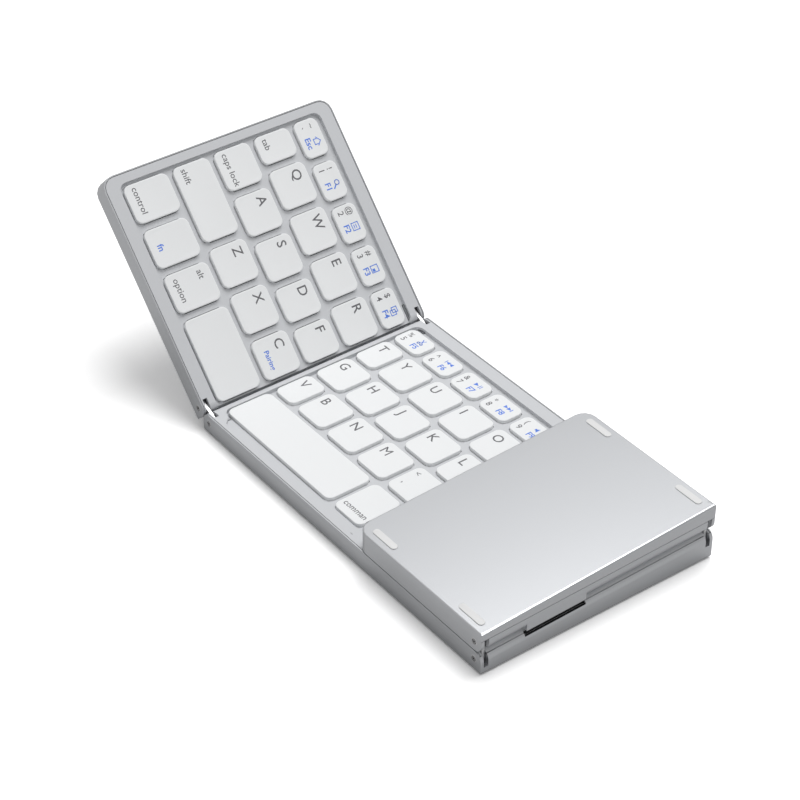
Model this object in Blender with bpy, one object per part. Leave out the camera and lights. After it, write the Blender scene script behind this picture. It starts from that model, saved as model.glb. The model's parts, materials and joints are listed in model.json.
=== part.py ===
"""Folding keyboard in three hinged panels, for Blender 4.5.

The middle panel lies on the table, the left panel stands half open and the right panel, which
carries the touchpad, is folded shut over the middle one. Lengths are in metres and Z is up.
Every panel is drawn in its own deck frame: X along the keyboard, Y from the front edge to the
rear edge, and Z square to the deck, with the deck's surface at zero.
"""

import math

import bmesh
import bpy

MM = 0.001

# Overall sizes
DEPTH = 98.0 * MM
FRONT_THICKNESS = 8.1 * MM
REAR_THICKNESS = 11.0 * MM
LEFT_LENGTH = 90.4 * MM
RIGHT_LENGTH = 64.5 * MM
FOLDED_GAP = 0.4 * MM
MIDDLE_LENGTH = LEFT_LENGTH + RIGHT_LENGTH + FOLDED_GAP

# Hinges: each side has two pivots, joined by a link at the front and one at the rear
KNUCKLE_RADIUS = 3.45 * MM
CLOSED_GAP = 0.3 * MM
LINK_LENGTH = 2 * KNUCKLE_RADIUS + CLOSED_GAP
LINK_END_RADIUS = 1.8 * MM
LINK_THICKNESS = 1.2 * MM
LINK_FROM_EDGE = 2.2 * MM
PIN_RADIUS = 0.8 * MM
PIN_LENGTH = 4.6 * MM
PIN_CLEARANCE = 0.15 * MM
LEFT_OPENING = math.radians(133.0)

# Housings
FREE_CORNER_RADIUS = 5.0 * MM
FLOOR = 1.0 * MM
WALL = 1.2 * MM
END_WALL = 0.9 * MM
UNDER_EDGE = 0.6 * MM
EAR_LENGTH = 8.0 * MM
EAR_WIDTH = 5.2 * MM
FIT_GAP = 0.3 * MM

# Decks
DECK_EDGE = 1.1 * MM
DECK_THICKNESS = 2.3 * MM
DECK_END_GAP = 0.25 * MM
WELL_DEPTH = 1.5 * MM
WELL_FRONT = 5.7 * MM
WELL_REAR = 92.2 * MM
WELL_CORNER = 3.0 * MM
LEFT_WELL_START = 86.5 * MM
MIDDLE_WELL_MARGIN = 4.1 * MM

# Scoop in front of the long space bar
SCOOP_START = 148.4 * MM
SCOOP_END = 86.0 * MM
SCOOP_FRONT = 2.3 * MM
SCOOP_SLOPE = 4.9 * MM

# Keys
KEY_FRONT = 6.8 * MM
KEY_ROW_GAP = 2.3 * MM
BOTTOM_ROW_DEPTH = 18.2 * MM
MAIN_ROW_DEPTH = 15.2 * MM
NUMBER_ROW_DEPTH = 10.1 * MM
LEFT_KEY_GAP = 2.8 * MM
MIDDLE_KEY_GAP = 2.4 * MM
LEFT_KEYS_START = 85.2 * MM
LEFT_KEYS_END = 2.0 * MM
MIDDLE_KEYS_MARGIN = 4.4 * MM
KEY_BELOW_DECK = 0.2 * MM
KEY_HEIGHT = 2.6 * MM
KEY_CORNER = 2.6 * MM
KEY_TOP_EDGE = 0.5 * MM
KEY_CLEARANCE = 0.3 * MM
KEY_TRAVEL = 1.4 * MM
TAB_WIDTH = 10.8 * MM
HOME_WIDTH = 13.2 * MM
SHIFT_WIDTH = 29.1 * MM
LEFT_SPACE_WIDTH = 31.2 * MM
EDGE_KEY_WIDTH = 11.0 * MM
ENTER_WIDTH = 24.7 * MM
SPACE_WIDTH = 61.4 * MM

# Inside
CONTACT_SHEET_BELOW_KEY = 0.2 * MM
CONTACT_SHEET_THICKNESS = 0.8 * MM
BATTERY_LENGTH = 92.0 * MM
BATTERY_WIDTH = 26.0 * MM
BATTERY_THICKNESS = 2.6 * MM
BATTERY_FROM_LEFT = 12.0 * MM
BATTERY_FROM_REAR = 4.0 * MM
BOARD_LENGTH = 34.0 * MM
BOARD_WIDTH = 40.0 * MM
BOARD_THICKNESS = 1.0 * MM
BOARD_FROM_RIGHT = 10.0 * MM
SOCKET_LENGTH = 8.0 * MM
SOCKET_WIDTH = 6.0 * MM
SOCKET_HEIGHT = 2.6 * MM

# Touchpad
TOUCHPAD_MARGIN_X = 7.0 * MM
TOUCHPAD_FRONT = 14.0 * MM
TOUCHPAD_REAR = 84.0 * MM
TOUCHPAD_THICKNESS = 1.0 * MM
TOUCHPAD_CORNER = 2.0 * MM

# Cable passage between the middle and the right panel
PASSAGE_FRONT = 18.0 * MM
PASSAGE_REAR = 43.0 * MM
PASSAGE_WINDOW_DEPTH = 2.2 * MM
PASSAGE_WINDOW_LENGTH = 2.6 * MM

# Rubber feet, moulded onto the housings
FOOT_LENGTH = 11.8 * MM
FOOT_WIDTH = 2.8 * MM
FOOT_HEIGHT = 0.3 * MM
FOOT_FROM_EDGE = 3.7 * MM
FOOT_FROM_HINGE_END = 9.3 * MM
FOOT_FROM_FREE_END = 10.8 * MM
FOOT_SUNK = 0.4 * MM

# How finely round shapes are faceted
CORNER_STEPS = 4
KEY_CORNER_STEPS = 2
KNUCKLE_STEPS = 6
PIN_SIDES = 12
PAST = 1.0 * MM
FAR_BELOW = 30.0 * MM

WEDGE = math.atan2(REAR_THICKNESS - FRONT_THICKNESS, DEPTH)
SLOT_WIDTH = LINK_THICKNESS + 2 * FIT_GAP
SLOT_REACH = KNUCKLE_RADIUS + LINK_END_RADIUS + FIT_GAP
KEY_TOP = -KEY_BELOW_DECK
KEY_BOTTOM = KEY_TOP - KEY_HEIGHT
SHEET_TOP = KEY_BOTTOM - KEY_TRAVEL - CONTACT_SHEET_BELOW_KEY
SHEET_BOTTOM = SHEET_TOP - CONTACT_SHEET_THICKNESS

# Keys from left to right. A width of None takes an equal share of what its row has left.
LEFT_ROWS = (
    (
        BOTTOM_ROW_DEPTH,
        (("control", None), ("fn", None), ("alt", None), ("left_space", LEFT_SPACE_WIDTH)),
    ),
    (MAIN_ROW_DEPTH, (("left_shift", SHIFT_WIDTH), ("z", None), ("x", None), ("c", None))),
    (
        MAIN_ROW_DEPTH,
        (("caps", None), ("a", None), ("s", None), ("d", HOME_WIDTH), ("f", HOME_WIDTH)),
    ),
    (MAIN_ROW_DEPTH, (("tab", TAB_WIDTH), ("q", None), ("w", None), ("e", None), ("r", None))),
    (NUMBER_ROW_DEPTH, (("escape", None), ("1", None), ("2", None), ("3", None), ("4", None))),
)
MIDDLE_ROWS = (
    (
        BOTTOM_ROW_DEPTH,
        (("space", SPACE_WIDTH), ("command", None), ("menu", None))
        + (("arrow_left", None), ("arrow_down", None), ("arrow_right", None)),
    ),
    (
        MAIN_ROW_DEPTH,
        (("v", EDGE_KEY_WIDTH), ("b", None), ("n", None), ("m", None), ("comma", None))
        + (("period", None), ("slash", None), ("arrow_up", None), ("right_shift", EDGE_KEY_WIDTH)),
    ),
    (
        MAIN_ROW_DEPTH,
        (("g", None), ("h", None), ("j", None), ("k", None), ("l", None))
        + (("semicolon", None), ("quote", None), ("enter", ENTER_WIDTH)),
    ),
    (
        MAIN_ROW_DEPTH,
        (("t", EDGE_KEY_WIDTH), ("y", None), ("u", None), ("i", None), ("o", None), ("p", None))
        + (("left_bracket", None), ("right_bracket", None), ("backslash", EDGE_KEY_WIDTH)),
    ),
    (
        NUMBER_ROW_DEPTH,
        (("5", None), ("6", None), ("7", None), ("8", None), ("9", None), ("0", None))
        + (("minus", None), ("equals", None), ("delete", None)),
    ),
)

SILVER = ("silver_housing", (0.62, 0.63, 0.65), 0.38, 0.85)
DECK_SILVER = ("silver_deck", (0.60, 0.61, 0.63), 0.42, 0.7)
STEEL = ("hinge_steel", (0.72, 0.72, 0.73), 0.25, 1.0)
KEY_WHITE = ("key_white", (0.84, 0.85, 0.86), 0.5, 0.0)
SHEET_GREY = ("contact_sheet", (0.80, 0.81, 0.82), 0.6, 0.0)
BOARD_GREEN = ("board_green", (0.05, 0.22, 0.10), 0.5, 0.0)
CELL_FILM = ("battery_film", (0.55, 0.57, 0.60), 0.4, 0.3)
PAD_GREY = ("touch_surface", (0.45, 0.46, 0.48), 0.5, 0.0)


def clear_scene():
    """Remove every object that the file opened with."""
    for item in list(bpy.data.objects):
        bpy.data.objects.remove(item, do_unlink=True)


def new_collection(name):
    group = bpy.data.collections.new(name)
    bpy.context.scene.collection.children.link(group)
    return group


def finish_material(finish):
    """The Principled material for one of the finishes, made on first use."""
    name, colour, roughness, metallic = finish
    found = bpy.data.materials.get(name)
    if found:
        return found
    made = bpy.data.materials.new(name)
    made.use_nodes = True
    shader = made.node_tree.nodes["Principled BSDF"]
    shader.inputs["Base Color"].default_value = (*colour, 1.0)
    shader.inputs["Roughness"].default_value = roughness
    shader.inputs["Metallic"].default_value = metallic
    return made


def thickness_at(depth):
    """How far the underside lies below the deck, at this distance from the front edge."""
    return FRONT_THICKNESS + (REAR_THICKNESS - FRONT_THICKNESS) * depth / DEPTH


def underside(depth):
    return -thickness_at(depth)


def floor_top(depth):
    return FLOOR - thickness_at(depth)


def level(height):
    """A flat top or bottom for a prism."""
    return lambda depth: height


def arc(centre, radius, start, end, steps):
    """Points on a circle from one angle to another, both in degrees."""
    points = []
    for step in range(steps + 1):
        angle = math.radians(start + (end - start) * step / steps)
        points.append((centre[0] + radius * math.cos(angle), centre[1] + radius * math.sin(angle)))
    return points


def rounded_outline(low, high, radii, steps=CORNER_STEPS):
    """A rectangle with rounded corners. The radii start at the low corner and go anticlockwise."""
    corners = (
        (low[0], low[1], 1, 1, 180),
        (high[0], low[1], -1, 1, 270),
        (high[0], high[1], -1, -1, 0),
        (low[0], high[1], 1, -1, 90),
    )
    outline = []
    for (x, y, inward_x, inward_y, start), radius in zip(corners, radii):
        if radius:
            centre = (x + inward_x * radius, y + inward_y * radius)
            outline += arc(centre, radius, start, start + 90, steps)
        else:
            outline.append((x, y))
    return outline


def add_prism(mesh, outline, top, bottom):
    """Add a closed solid over an outline, between two surfaces that vary with the depth."""
    ring = [mesh.verts.new((x, y, top(y))) for x, y in outline]
    cap = mesh.faces.new(ring)
    walls = bmesh.ops.extrude_face_region(mesh, geom=[cap])
    for item in walls["geom"]:
        if isinstance(item, bmesh.types.BMVert):
            item.co.z = bottom(item.co.y)


def add_profile(mesh, profile, start, end):
    """Add a closed solid whose X and Z section runs along Y from start to end."""
    ring = [mesh.verts.new((x, start, z)) for x, z in profile]
    cap = mesh.faces.new(ring)
    walls = bmesh.ops.extrude_face_region(mesh, geom=[cap])
    for item in walls["geom"]:
        if isinstance(item, bmesh.types.BMVert):
            item.co.y = end


def add_pin(mesh, centre, radius, start, end):
    """Add a round pin or hole along Y."""
    sides = arc(centre, radius, 0, 360 - 360 / PIN_SIDES, PIN_SIDES - 1)
    add_profile(mesh, sides, start, end)


class Workshop:
    """Keeps the collections, and makes named solids and cutters in them."""

    def __init__(self):
        self.parts = new_collection("folding_keyboard")
        self.cutters = new_collection("cutters")

    def solid(self, name, mesh, finish, parent):
        piece = self.add(name, mesh, self.parts)
        piece.data.materials.append(finish_material(finish))
        piece.parent = parent
        return piece

    def cutter(self, name, mesh, parent):
        tool = self.add(name, mesh, self.cutters)
        tool.hide_render = True
        tool.display_type = "WIRE"
        tool.parent = parent
        return tool

    def add(self, name, mesh, group):
        bmesh.ops.recalc_face_normals(mesh, faces=mesh.faces[:])
        data = bpy.data.meshes.new(name)
        mesh.to_mesh(data)
        mesh.free()
        item = bpy.data.objects.new(name, data)
        group.objects.link(item)
        return item

    def frame(self, name, parent, location, tilt=0.0, turn=0.0):
        """An empty that carries pieces: tilt is about X and turn about Y."""
        empty = bpy.data.objects.new(name, None)
        self.parts.objects.link(empty)
        empty.parent = parent
        empty.location = location
        empty.rotation_euler = (tilt, turn, 0.0)
        return empty


def combine(piece, operation, tool):
    """Add a Boolean that cuts, joins or trims the piece with the tool."""
    modifier = piece.modifiers.new(tool.name, "BOOLEAN")
    modifier.operation = operation
    modifier.solver = "EXACT"
    modifier.object = tool


class Panel:
    """The measures of one panel in its deck frame, from its left end to its right end."""

    def __init__(self, name, start, end, left_hinged, right_hinged):
        self.name = name
        self.start = start
        self.end = end
        self.left_hinged = left_hinged
        self.right_hinged = right_hinged
        self.hinged_ends = []
        if left_hinged:
            self.hinged_ends.append((start, 1))
        if right_hinged:
            self.hinged_ends.append((end, -1))

    def outline(self, inset, radius):
        """The plan of the panel, drawn in by an inset, with its free corners rounded."""
        left = 0 if self.left_hinged else radius
        right = 0 if self.right_hinged else radius
        low = (self.start + inset, inset)
        high = (self.end - inset, DEPTH - inset)
        return rounded_outline(low, high, (left, right, right, left))

    def hinge_line(self):
        """Where the pivot of the only hinged end lies, along X."""
        end, inward = self.hinged_ends[0]
        return end + inward * KNUCKLE_RADIUS


def envelope_profile(panel):
    """The panel's section along X, with a round knuckle at the deck side of each hinged end."""
    profile = [(panel.start, -FAR_BELOW), (panel.end, -FAR_BELOW)]
    if panel.right_hinged:
        centre = (panel.end - KNUCKLE_RADIUS, -KNUCKLE_RADIUS)
        profile += arc(centre, KNUCKLE_RADIUS, 0, 90, KNUCKLE_STEPS)
    else:
        profile += [(panel.end + PAST, -FAR_BELOW), (panel.end + PAST, 0.0)]
    if panel.left_hinged:
        centre = (panel.start + KNUCKLE_RADIUS, -KNUCKLE_RADIUS)
        profile += arc(centre, KNUCKLE_RADIUS, 90, 180, KNUCKLE_STEPS)
    else:
        profile += [(panel.start - PAST, 0.0), (panel.start - PAST, -FAR_BELOW)]
    return profile


def envelope_cutter(shop, panel, parent):
    mesh = bmesh.new()
    add_profile(mesh, envelope_profile(panel), -PAST, DEPTH + PAST)
    return shop.cutter(panel.name + "_envelope", mesh, parent)


def cavity_outline(panel):
    """The hollow in the housing, which leaves a solid ear at each corner that has a hinge."""
    front = WALL
    rear = DEPTH - WALL
    left_x = panel.start + (END_WALL if panel.left_hinged else WALL)
    right_x = panel.end - (END_WALL if panel.right_hinged else WALL)
    corner = FREE_CORNER_RADIUS - WALL
    points = []
    if panel.left_hinged:
        ear = panel.start + EAR_LENGTH
        points += [(left_x, rear - EAR_WIDTH), (left_x, front + EAR_WIDTH)]
        points += [(ear, front + EAR_WIDTH), (ear, front)]
    else:
        points += arc((left_x + corner, rear - corner), corner, 90, 180, CORNER_STEPS)
        points += arc((left_x + corner, front + corner), corner, 180, 270, CORNER_STEPS)
    if panel.right_hinged:
        ear = panel.end - EAR_LENGTH
        points += [(ear, front), (ear, front + EAR_WIDTH)]
        points += [(right_x, front + EAR_WIDTH), (right_x, rear - EAR_WIDTH)]
        points += [(ear, rear - EAR_WIDTH), (ear, rear)]
    else:
        points += arc((right_x - corner, front + corner), corner, 270, 360, CORNER_STEPS)
        points += arc((right_x - corner, rear - corner), corner, 0, 90, CORNER_STEPS)
    if panel.left_hinged:
        ear = panel.start + EAR_LENGTH
        points += [(ear, rear), (ear, rear - EAR_WIDTH)]
    return points


def drawn_in(outline, inset):
    """The outline moved inwards by the same inset on every side. It runs anticlockwise."""
    moved = []
    count = len(outline)
    for index in range(count):
        before, here, after = outline[index - 1], outline[index], outline[(index + 1) % count]
        first = unit_normal(before, here)
        second = unit_normal(here, after)
        share = inset / (1 + first[0] * second[0] + first[1] * second[1])
        moved.append(
            (here[0] + share * (first[0] + second[0]), here[1] + share * (first[1] + second[1]))
        )
    return moved


def unit_normal(start, end):
    """The direction square to an edge, to its left."""
    run = end[0] - start[0]
    rise = end[1] - start[1]
    length = math.hypot(run, rise)
    return (-rise / length, run / length)


def hollow_cutter(shop, panel, parent):
    """Cuts the housing's cavity, and the seat that the deck's rim lies in."""
    mesh = bmesh.new()
    add_prism(mesh, cavity_outline(panel), level(PAST), floor_top)
    return shop.cutter(panel.name + "_hollow", mesh, parent)


def seat_cutter(shop, panel, parent):
    left = panel.start + (END_WALL if panel.left_hinged else -PAST)
    right = panel.end - (END_WALL if panel.right_hinged else -PAST)
    outline = rounded_outline((left, -PAST), (right, DEPTH + PAST), (0, 0, 0, 0))
    mesh = bmesh.new()
    add_prism(mesh, outline, level(PAST), level(-DECK_EDGE - FIT_GAP))
    return shop.cutter(panel.name + "_deck_seat", mesh, parent)


def link_slot_cutter(shop, panel, parent):
    """Slots for the hinge links, open to the deck and to the panel's end."""
    mesh = bmesh.new()
    for end, inward in panel.hinged_ends:
        low = min(end + inward * SLOT_REACH, end - inward * PAST)
        high = max(end + inward * SLOT_REACH, end - inward * PAST)
        for middle in (LINK_FROM_EDGE, DEPTH - LINK_FROM_EDGE):
            front = middle - SLOT_WIDTH / 2
            outline = rounded_outline((low, front), (high, front + SLOT_WIDTH), (0, 0, 0, 0))
            add_prism(mesh, outline, level(PAST), level(-SLOT_REACH))
    return shop.cutter(panel.name + "_link_slots", mesh, parent)


def pin_hole_cutter(shop, panel, parent):
    """Holes for the hinge pins, from the outside through both cheeks of each ear."""
    mesh = bmesh.new()
    radius = PIN_RADIUS + PIN_CLEARANCE
    for end, inward in panel.hinged_ends:
        centre = (end + inward * KNUCKLE_RADIUS, -KNUCKLE_RADIUS)
        deep = PIN_LENGTH + FIT_GAP
        add_pin(mesh, centre, radius, -PAST, deep)
        add_pin(mesh, centre, radius, DEPTH - deep, DEPTH + PAST)
    return shop.cutter(panel.name + "_pin_holes", mesh, parent)


def foot_places(panel):
    """The middles of the four feet under a panel."""
    left = FOOT_FROM_HINGE_END if panel.left_hinged else FOOT_FROM_FREE_END
    right = FOOT_FROM_HINGE_END if panel.right_hinged else FOOT_FROM_FREE_END
    places = []
    for x in (panel.start + left, panel.end - right):
        for y in (FOOT_FROM_EDGE, DEPTH - FOOT_FROM_EDGE):
            places.append((x, y))
    return places


def feet_tool(shop, panel, parent):
    """The four stadium-shaped feet, which are moulded onto the housing."""
    mesh = bmesh.new()
    half_length = FOOT_LENGTH / 2
    half_width = FOOT_WIDTH / 2
    for x, y in foot_places(panel):
        low = (x - half_length, y - half_width)
        high = (x + half_length, y + half_width)
        outline = rounded_outline(low, high, (half_width,) * 4, KEY_CORNER_STEPS)
        outline = outline[:: 1]
        add_prism(
            mesh,
            without_doubles(outline),
            lambda depth: underside(depth) + FOOT_SUNK,
            lambda depth: underside(depth) - FOOT_HEIGHT,
        )
    return shop.cutter(panel.name + "_feet", mesh, parent)


def without_doubles(outline):
    """The outline without a point that repeats the one before it."""
    kept = []
    for index, point in enumerate(outline):
        before = outline[index - 1]
        if math.dist(point, before) > PIN_CLEARANCE / 10:
            kept.append(point)
    return kept


def add_housing_body(mesh, panel):
    """The outer form of the housing, with its underside edge rounded over."""
    add_prism(mesh, panel.outline(0.0, FREE_CORNER_RADIUS), level(0.0), underside)
    bmesh.ops.recalc_face_normals(mesh, faces=mesh.faces[:])
    lowest = [face for face in mesh.faces if face.normal.z < -math.cos(2 * WEDGE)]
    edges = {edge for face in lowest for edge in face.edges}
    bmesh.ops.bevel(
        mesh, geom=list(edges), offset=UNDER_EDGE, segments=2, profile=0.5, affect="EDGES", material=-1
    )


def make_shell(shop, panel, parent):
    """The panel's housing: a tray with knuckled ends, ears for the links and four feet."""
    mesh = bmesh.new()
    add_housing_body(mesh, panel)
    shell = shop.solid(panel.name + "_shell", mesh, SILVER, parent)
    combine(shell, "DIFFERENCE", seat_cutter(shop, panel, parent))
    combine(shell, "INTERSECT", envelope_cutter(shop, panel, parent))
    combine(shell, "DIFFERENCE", hollow_cutter(shop, panel, parent))
    combine(shell, "DIFFERENCE", link_slot_cutter(shop, panel, parent))
    combine(shell, "DIFFERENCE", pin_hole_cutter(shop, panel, parent))
    combine(shell, "UNION", feet_tool(shop, panel, parent))
    return shell


def deck_outline(panel, inset, radius):
    """The plan of the deck, which stops short of the housing's end wall at a hinge."""
    left = panel.start + (END_WALL + DECK_END_GAP if panel.left_hinged else inset)
    right = panel.end - (END_WALL + DECK_END_GAP if panel.right_hinged else inset)
    left_radius = 0 if panel.left_hinged else radius
    right_radius = 0 if panel.right_hinged else radius
    radii = (left_radius, right_radius, right_radius, left_radius)
    return rounded_outline((left, inset), (right, DEPTH - inset), radii)


def tub_tool(shop, panel, parent):
    """The thicker middle of the deck, which drops into the housing's cavity."""
    mesh = bmesh.new()
    outline = drawn_in(cavity_outline(panel), FIT_GAP)
    add_prism(mesh, outline, level(-DECK_EDGE / 2), level(-DECK_THICKNESS))
    return shop.cutter(panel.name + "_tub", mesh, parent)


def make_deck(shop, panel, well, parent):
    """The panel's top plate, with the well that its keys or its touchpad lie in."""
    mesh = bmesh.new()
    outline = deck_outline(panel, 0.0, FREE_CORNER_RADIUS)
    add_prism(mesh, outline, level(0.0), level(-DECK_EDGE))
    deck = shop.solid(panel.name + "_deck", mesh, DECK_SILVER, parent)
    combine(deck, "UNION", tub_tool(shop, panel, parent))
    combine(deck, "INTERSECT", bpy.data.objects[panel.name + "_envelope"])
    combine(deck, "DIFFERENCE", well)
    combine(deck, "DIFFERENCE", bpy.data.objects[panel.name + "_link_slots"])
    return deck


def well_cutter(shop, panel, outline, depth, parent):
    mesh = bmesh.new()
    add_prism(mesh, outline, level(PAST), level(-depth))
    return shop.cutter(panel.name + "_well", mesh, parent)


def left_well_outline(panel):
    """A rounded well that runs out to the housing's end wall at the hinge."""
    low = (panel.end - LEFT_WELL_START, WELL_FRONT)
    high = (panel.end - END_WALL, WELL_REAR)
    return rounded_outline(low, high, (WELL_CORNER,) * 4)


def scoop_edge():
    """The S-shaped line from the well's front edge down to the scoop and back up again."""
    rise = WELL_FRONT - SCOOP_FRONT
    line = []
    for step in range(CORNER_STEPS + 1):
        share = step / CORNER_STEPS
        drop = rise * (1 - math.cos(math.pi * share)) / 2
        line.append((-SCOOP_START + SCOOP_SLOPE * share, WELL_FRONT - drop))
    for step in range(CORNER_STEPS + 1):
        share = step / CORNER_STEPS
        climb = rise * (1 - math.cos(math.pi * share)) / 2
        line.append((-SCOOP_END - SCOOP_SLOPE * (1 - share), SCOOP_FRONT + climb))
    return line


def middle_well_outline(panel):
    """The rounded well of the middle panel, with the scoop in front of the space bar."""
    low = (panel.start + MIDDLE_WELL_MARGIN, WELL_FRONT)
    high = (panel.end - MIDDLE_WELL_MARGIN, WELL_REAR)
    outline = rounded_outline(low, high, (WELL_CORNER,) * 4)
    first_corner = CORNER_STEPS + 1
    return outline[:first_corner] + scoop_edge() + outline[first_corner:]


def row_layout(keys, start, end, gap):
    """The name, low X and high X of each key in a row."""
    fixed = sum(width for _, width in keys if width)
    sharing = sum(1 for _, width in keys if not width)
    share = (end - start - fixed - gap * (len(keys) - 1)) / sharing
    placed = []
    x = start
    for name, width in keys:
        width = width or share
        placed.append((name, x, x + width))
        x += width + gap
    return placed


def key_layout(rows, start, end, gap):
    """The name, low corner and high corner of each key on a panel."""
    keys = []
    front = KEY_FRONT
    for depth, names in rows:
        for name, low, high in row_layout(names, start, end, gap):
            keys.append((name, (low, front), (high, front + depth)))
        front += depth + KEY_ROW_GAP
    return keys


def key_opening_cutter(shop, panel, keys, parent):
    """The openings that the keys sink into, one around each key."""
    mesh = bmesh.new()
    radius = KEY_CORNER + KEY_CLEARANCE
    for _, low, high in keys:
        wide_low = (low[0] - KEY_CLEARANCE, low[1] - KEY_CLEARANCE)
        wide_high = (high[0] + KEY_CLEARANCE, high[1] + KEY_CLEARANCE)
        outline = rounded_outline(wide_low, wide_high, (radius,) * 4, KEY_CORNER_STEPS)
        add_prism(mesh, outline, level(PAST), level(-DECK_THICKNESS - PAST))
    return shop.cutter(panel.name + "_key_openings", mesh, parent)


def add_key_cap(mesh, width, depth, bottom):
    """A key cap around the middle of its top, with its upper edge bevelled."""
    low = (-width / 2, -depth / 2)
    high = (width / 2, depth / 2)
    outline = rounded_outline(low, high, (KEY_CORNER,) * 4, KEY_CORNER_STEPS)
    first_new = len(mesh.faces)
    add_prism(mesh, outline, level(0.0), level(bottom))
    mesh.faces.ensure_lookup_table()
    added = mesh.faces[first_new:]
    top = [face for face in added if all(abs(v.co.z) < PIN_CLEARANCE / 10 for v in face.verts)]
    bmesh.ops.bevel(
        mesh,
        geom=list(top[0].edges),
        offset=KEY_TOP_EDGE,
        segments=1,
        profile=0.5,
        affect="EDGES",
        material=-1,
    )


def key_size(low, high):
    """The middle, the width and the depth of a key."""
    middle = ((low[0] + high[0]) / 2, (low[1] + high[1]) / 2)
    return middle, high[0] - low[0], high[1] - low[1]


def make_keys(shop, keys, parent):
    """One travelling key cap each."""
    for name, low, high in keys:
        middle, width, depth = key_size(low, high)
        mesh = bmesh.new()
        add_key_cap(mesh, width, depth, -KEY_HEIGHT)
        cap = shop.solid("key_" + name, mesh, KEY_WHITE, parent)
        cap.location = (middle[0], middle[1], KEY_TOP)


def fixed_keys_tool(shop, keys, parent):
    """The caps under the folded panel, which stand on the contact sheet and belong to it."""
    mesh = bmesh.new()
    for _, low, high in keys:
        outline = rounded_outline(low, high, (KEY_CORNER,) * 4, KEY_CORNER_STEPS)
        add_prism(mesh, outline, level(KEY_TOP), level(SHEET_BOTTOM + CONTACT_SHEET_BELOW_KEY))
    return shop.cutter("fixed_keys", mesh, parent)


def make_contact_sheet(shop, panel, parent):
    """The switch sheet under the keys, held at its edges by the housing's walls."""
    mesh = bmesh.new()
    outline = drawn_in(cavity_outline(panel), FIT_GAP)
    add_prism(mesh, outline, level(SHEET_TOP), level(SHEET_BOTTOM))
    return shop.solid(panel.name + "_contact_sheet", mesh, SHEET_GREY, parent)


def add_box(mesh, low, high):
    outline = rounded_outline(low[:2], high[:2], (0, 0, 0, 0))
    add_prism(mesh, outline, level(high[2]), level(low[2]))


def make_battery(shop, base):
    """A flat cell on the floor at the rear, where the housing is thickest."""
    left = -MIDDLE_LENGTH + BATTERY_FROM_LEFT
    rear = DEPTH - WALL - BATTERY_FROM_REAR
    bottom = FLOOR + FIT_GAP
    mesh = bmesh.new()
    low = (left, rear - BATTERY_WIDTH, bottom)
    high = (left + BATTERY_LENGTH, rear, bottom + BATTERY_THICKNESS)
    add_box(mesh, low, high)
    return shop.solid("battery", mesh, CELL_FILM, base)


def socket_span():
    """Where the charging socket lies along X."""
    middle = -BOARD_FROM_RIGHT - BOARD_LENGTH / 2
    return middle - SOCKET_LENGTH / 2, middle + SOCKET_LENGTH / 2


def make_circuit_board(shop, base):
    """The controller board on the floor, with the charging socket at the rear wall."""
    bottom = FLOOR + FIT_GAP
    rear = DEPTH * math.cos(WEDGE) - WALL - FIT_GAP
    right = -BOARD_FROM_RIGHT
    mesh = bmesh.new()
    board_top = bottom + BOARD_THICKNESS
    add_box(mesh, (right - BOARD_LENGTH, rear - BOARD_WIDTH, bottom), (right, rear, board_top))
    board = shop.solid("circuit_board", mesh, BOARD_GREEN, base)
    left_x, right_x = socket_span()
    block = bmesh.new()
    low = (left_x, rear - SOCKET_WIDTH, bottom + BOARD_THICKNESS / 2)
    add_box(block, low, (right_x, rear, board_top + SOCKET_HEIGHT))
    combine(board, "UNION", shop.cutter("charging_socket", block, base))
    return board


def port_cutter(shop, base):
    """The opening in the middle housing's rear wall that the charging plug goes through."""
    left_x, right_x = socket_span()
    bottom = FLOOR + FIT_GAP + BOARD_THICKNESS
    mesh = bmesh.new()
    low = (left_x, DEPTH - 2 * WALL, bottom)
    add_box(mesh, low, (right_x, DEPTH + PAST, bottom + SOCKET_HEIGHT))
    return shop.cutter("charging_port", mesh, base)


def passage_window_cutter(shop, panel, parent):
    """The notch in the middle panel's end wall that the cable to the right panel passes."""
    outline = rounded_outline(
        (panel.end - PASSAGE_WINDOW_LENGTH, PASSAGE_FRONT), (panel.end + PAST, PASSAGE_REAR), (0,) * 4
    )
    mesh = bmesh.new()
    add_prism(mesh, outline, level(PAST), level(-PASSAGE_WINDOW_DEPTH))
    return shop.cutter("passage_window", mesh, parent)


def passage_tongue_tool(shop, panel, parent):
    """The square lip of the right panel that covers the cable between the two panels."""
    outline = rounded_outline(
        (panel.start, PASSAGE_FRONT + FIT_GAP),
        (panel.start + END_WALL, PASSAGE_REAR - FIT_GAP),
        (0,) * 4,
    )
    mesh = bmesh.new()
    add_prism(mesh, outline, level(0.0), level(-2 * KNUCKLE_RADIUS))
    return shop.cutter("passage_tongue", mesh, parent)


def make_touchpad(shop, panel, parent):
    """The touch plate, sunk in its own well and level with the keys."""
    low, high = touchpad_corners(panel)
    mesh = bmesh.new()
    outline = rounded_outline(low, high, (TOUCHPAD_CORNER,) * 4)
    add_prism(mesh, outline, level(KEY_TOP), level(KEY_TOP - TOUCHPAD_THICKNESS))
    return shop.solid("touchpad", mesh, PAD_GREY, parent)


def touchpad_corners(panel):
    return (
        (panel.start + TOUCHPAD_MARGIN_X, TOUCHPAD_FRONT),
        (panel.end - TOUCHPAD_MARGIN_X, TOUCHPAD_REAR),
    )


def touchpad_well_outline(panel):
    low, high = touchpad_corners(panel)
    low = (low[0] - FIT_GAP, low[1] - FIT_GAP)
    high = (high[0] + FIT_GAP, high[1] + FIT_GAP)
    return rounded_outline(low, high, (TOUCHPAD_CORNER + FIT_GAP,) * 4)


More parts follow.
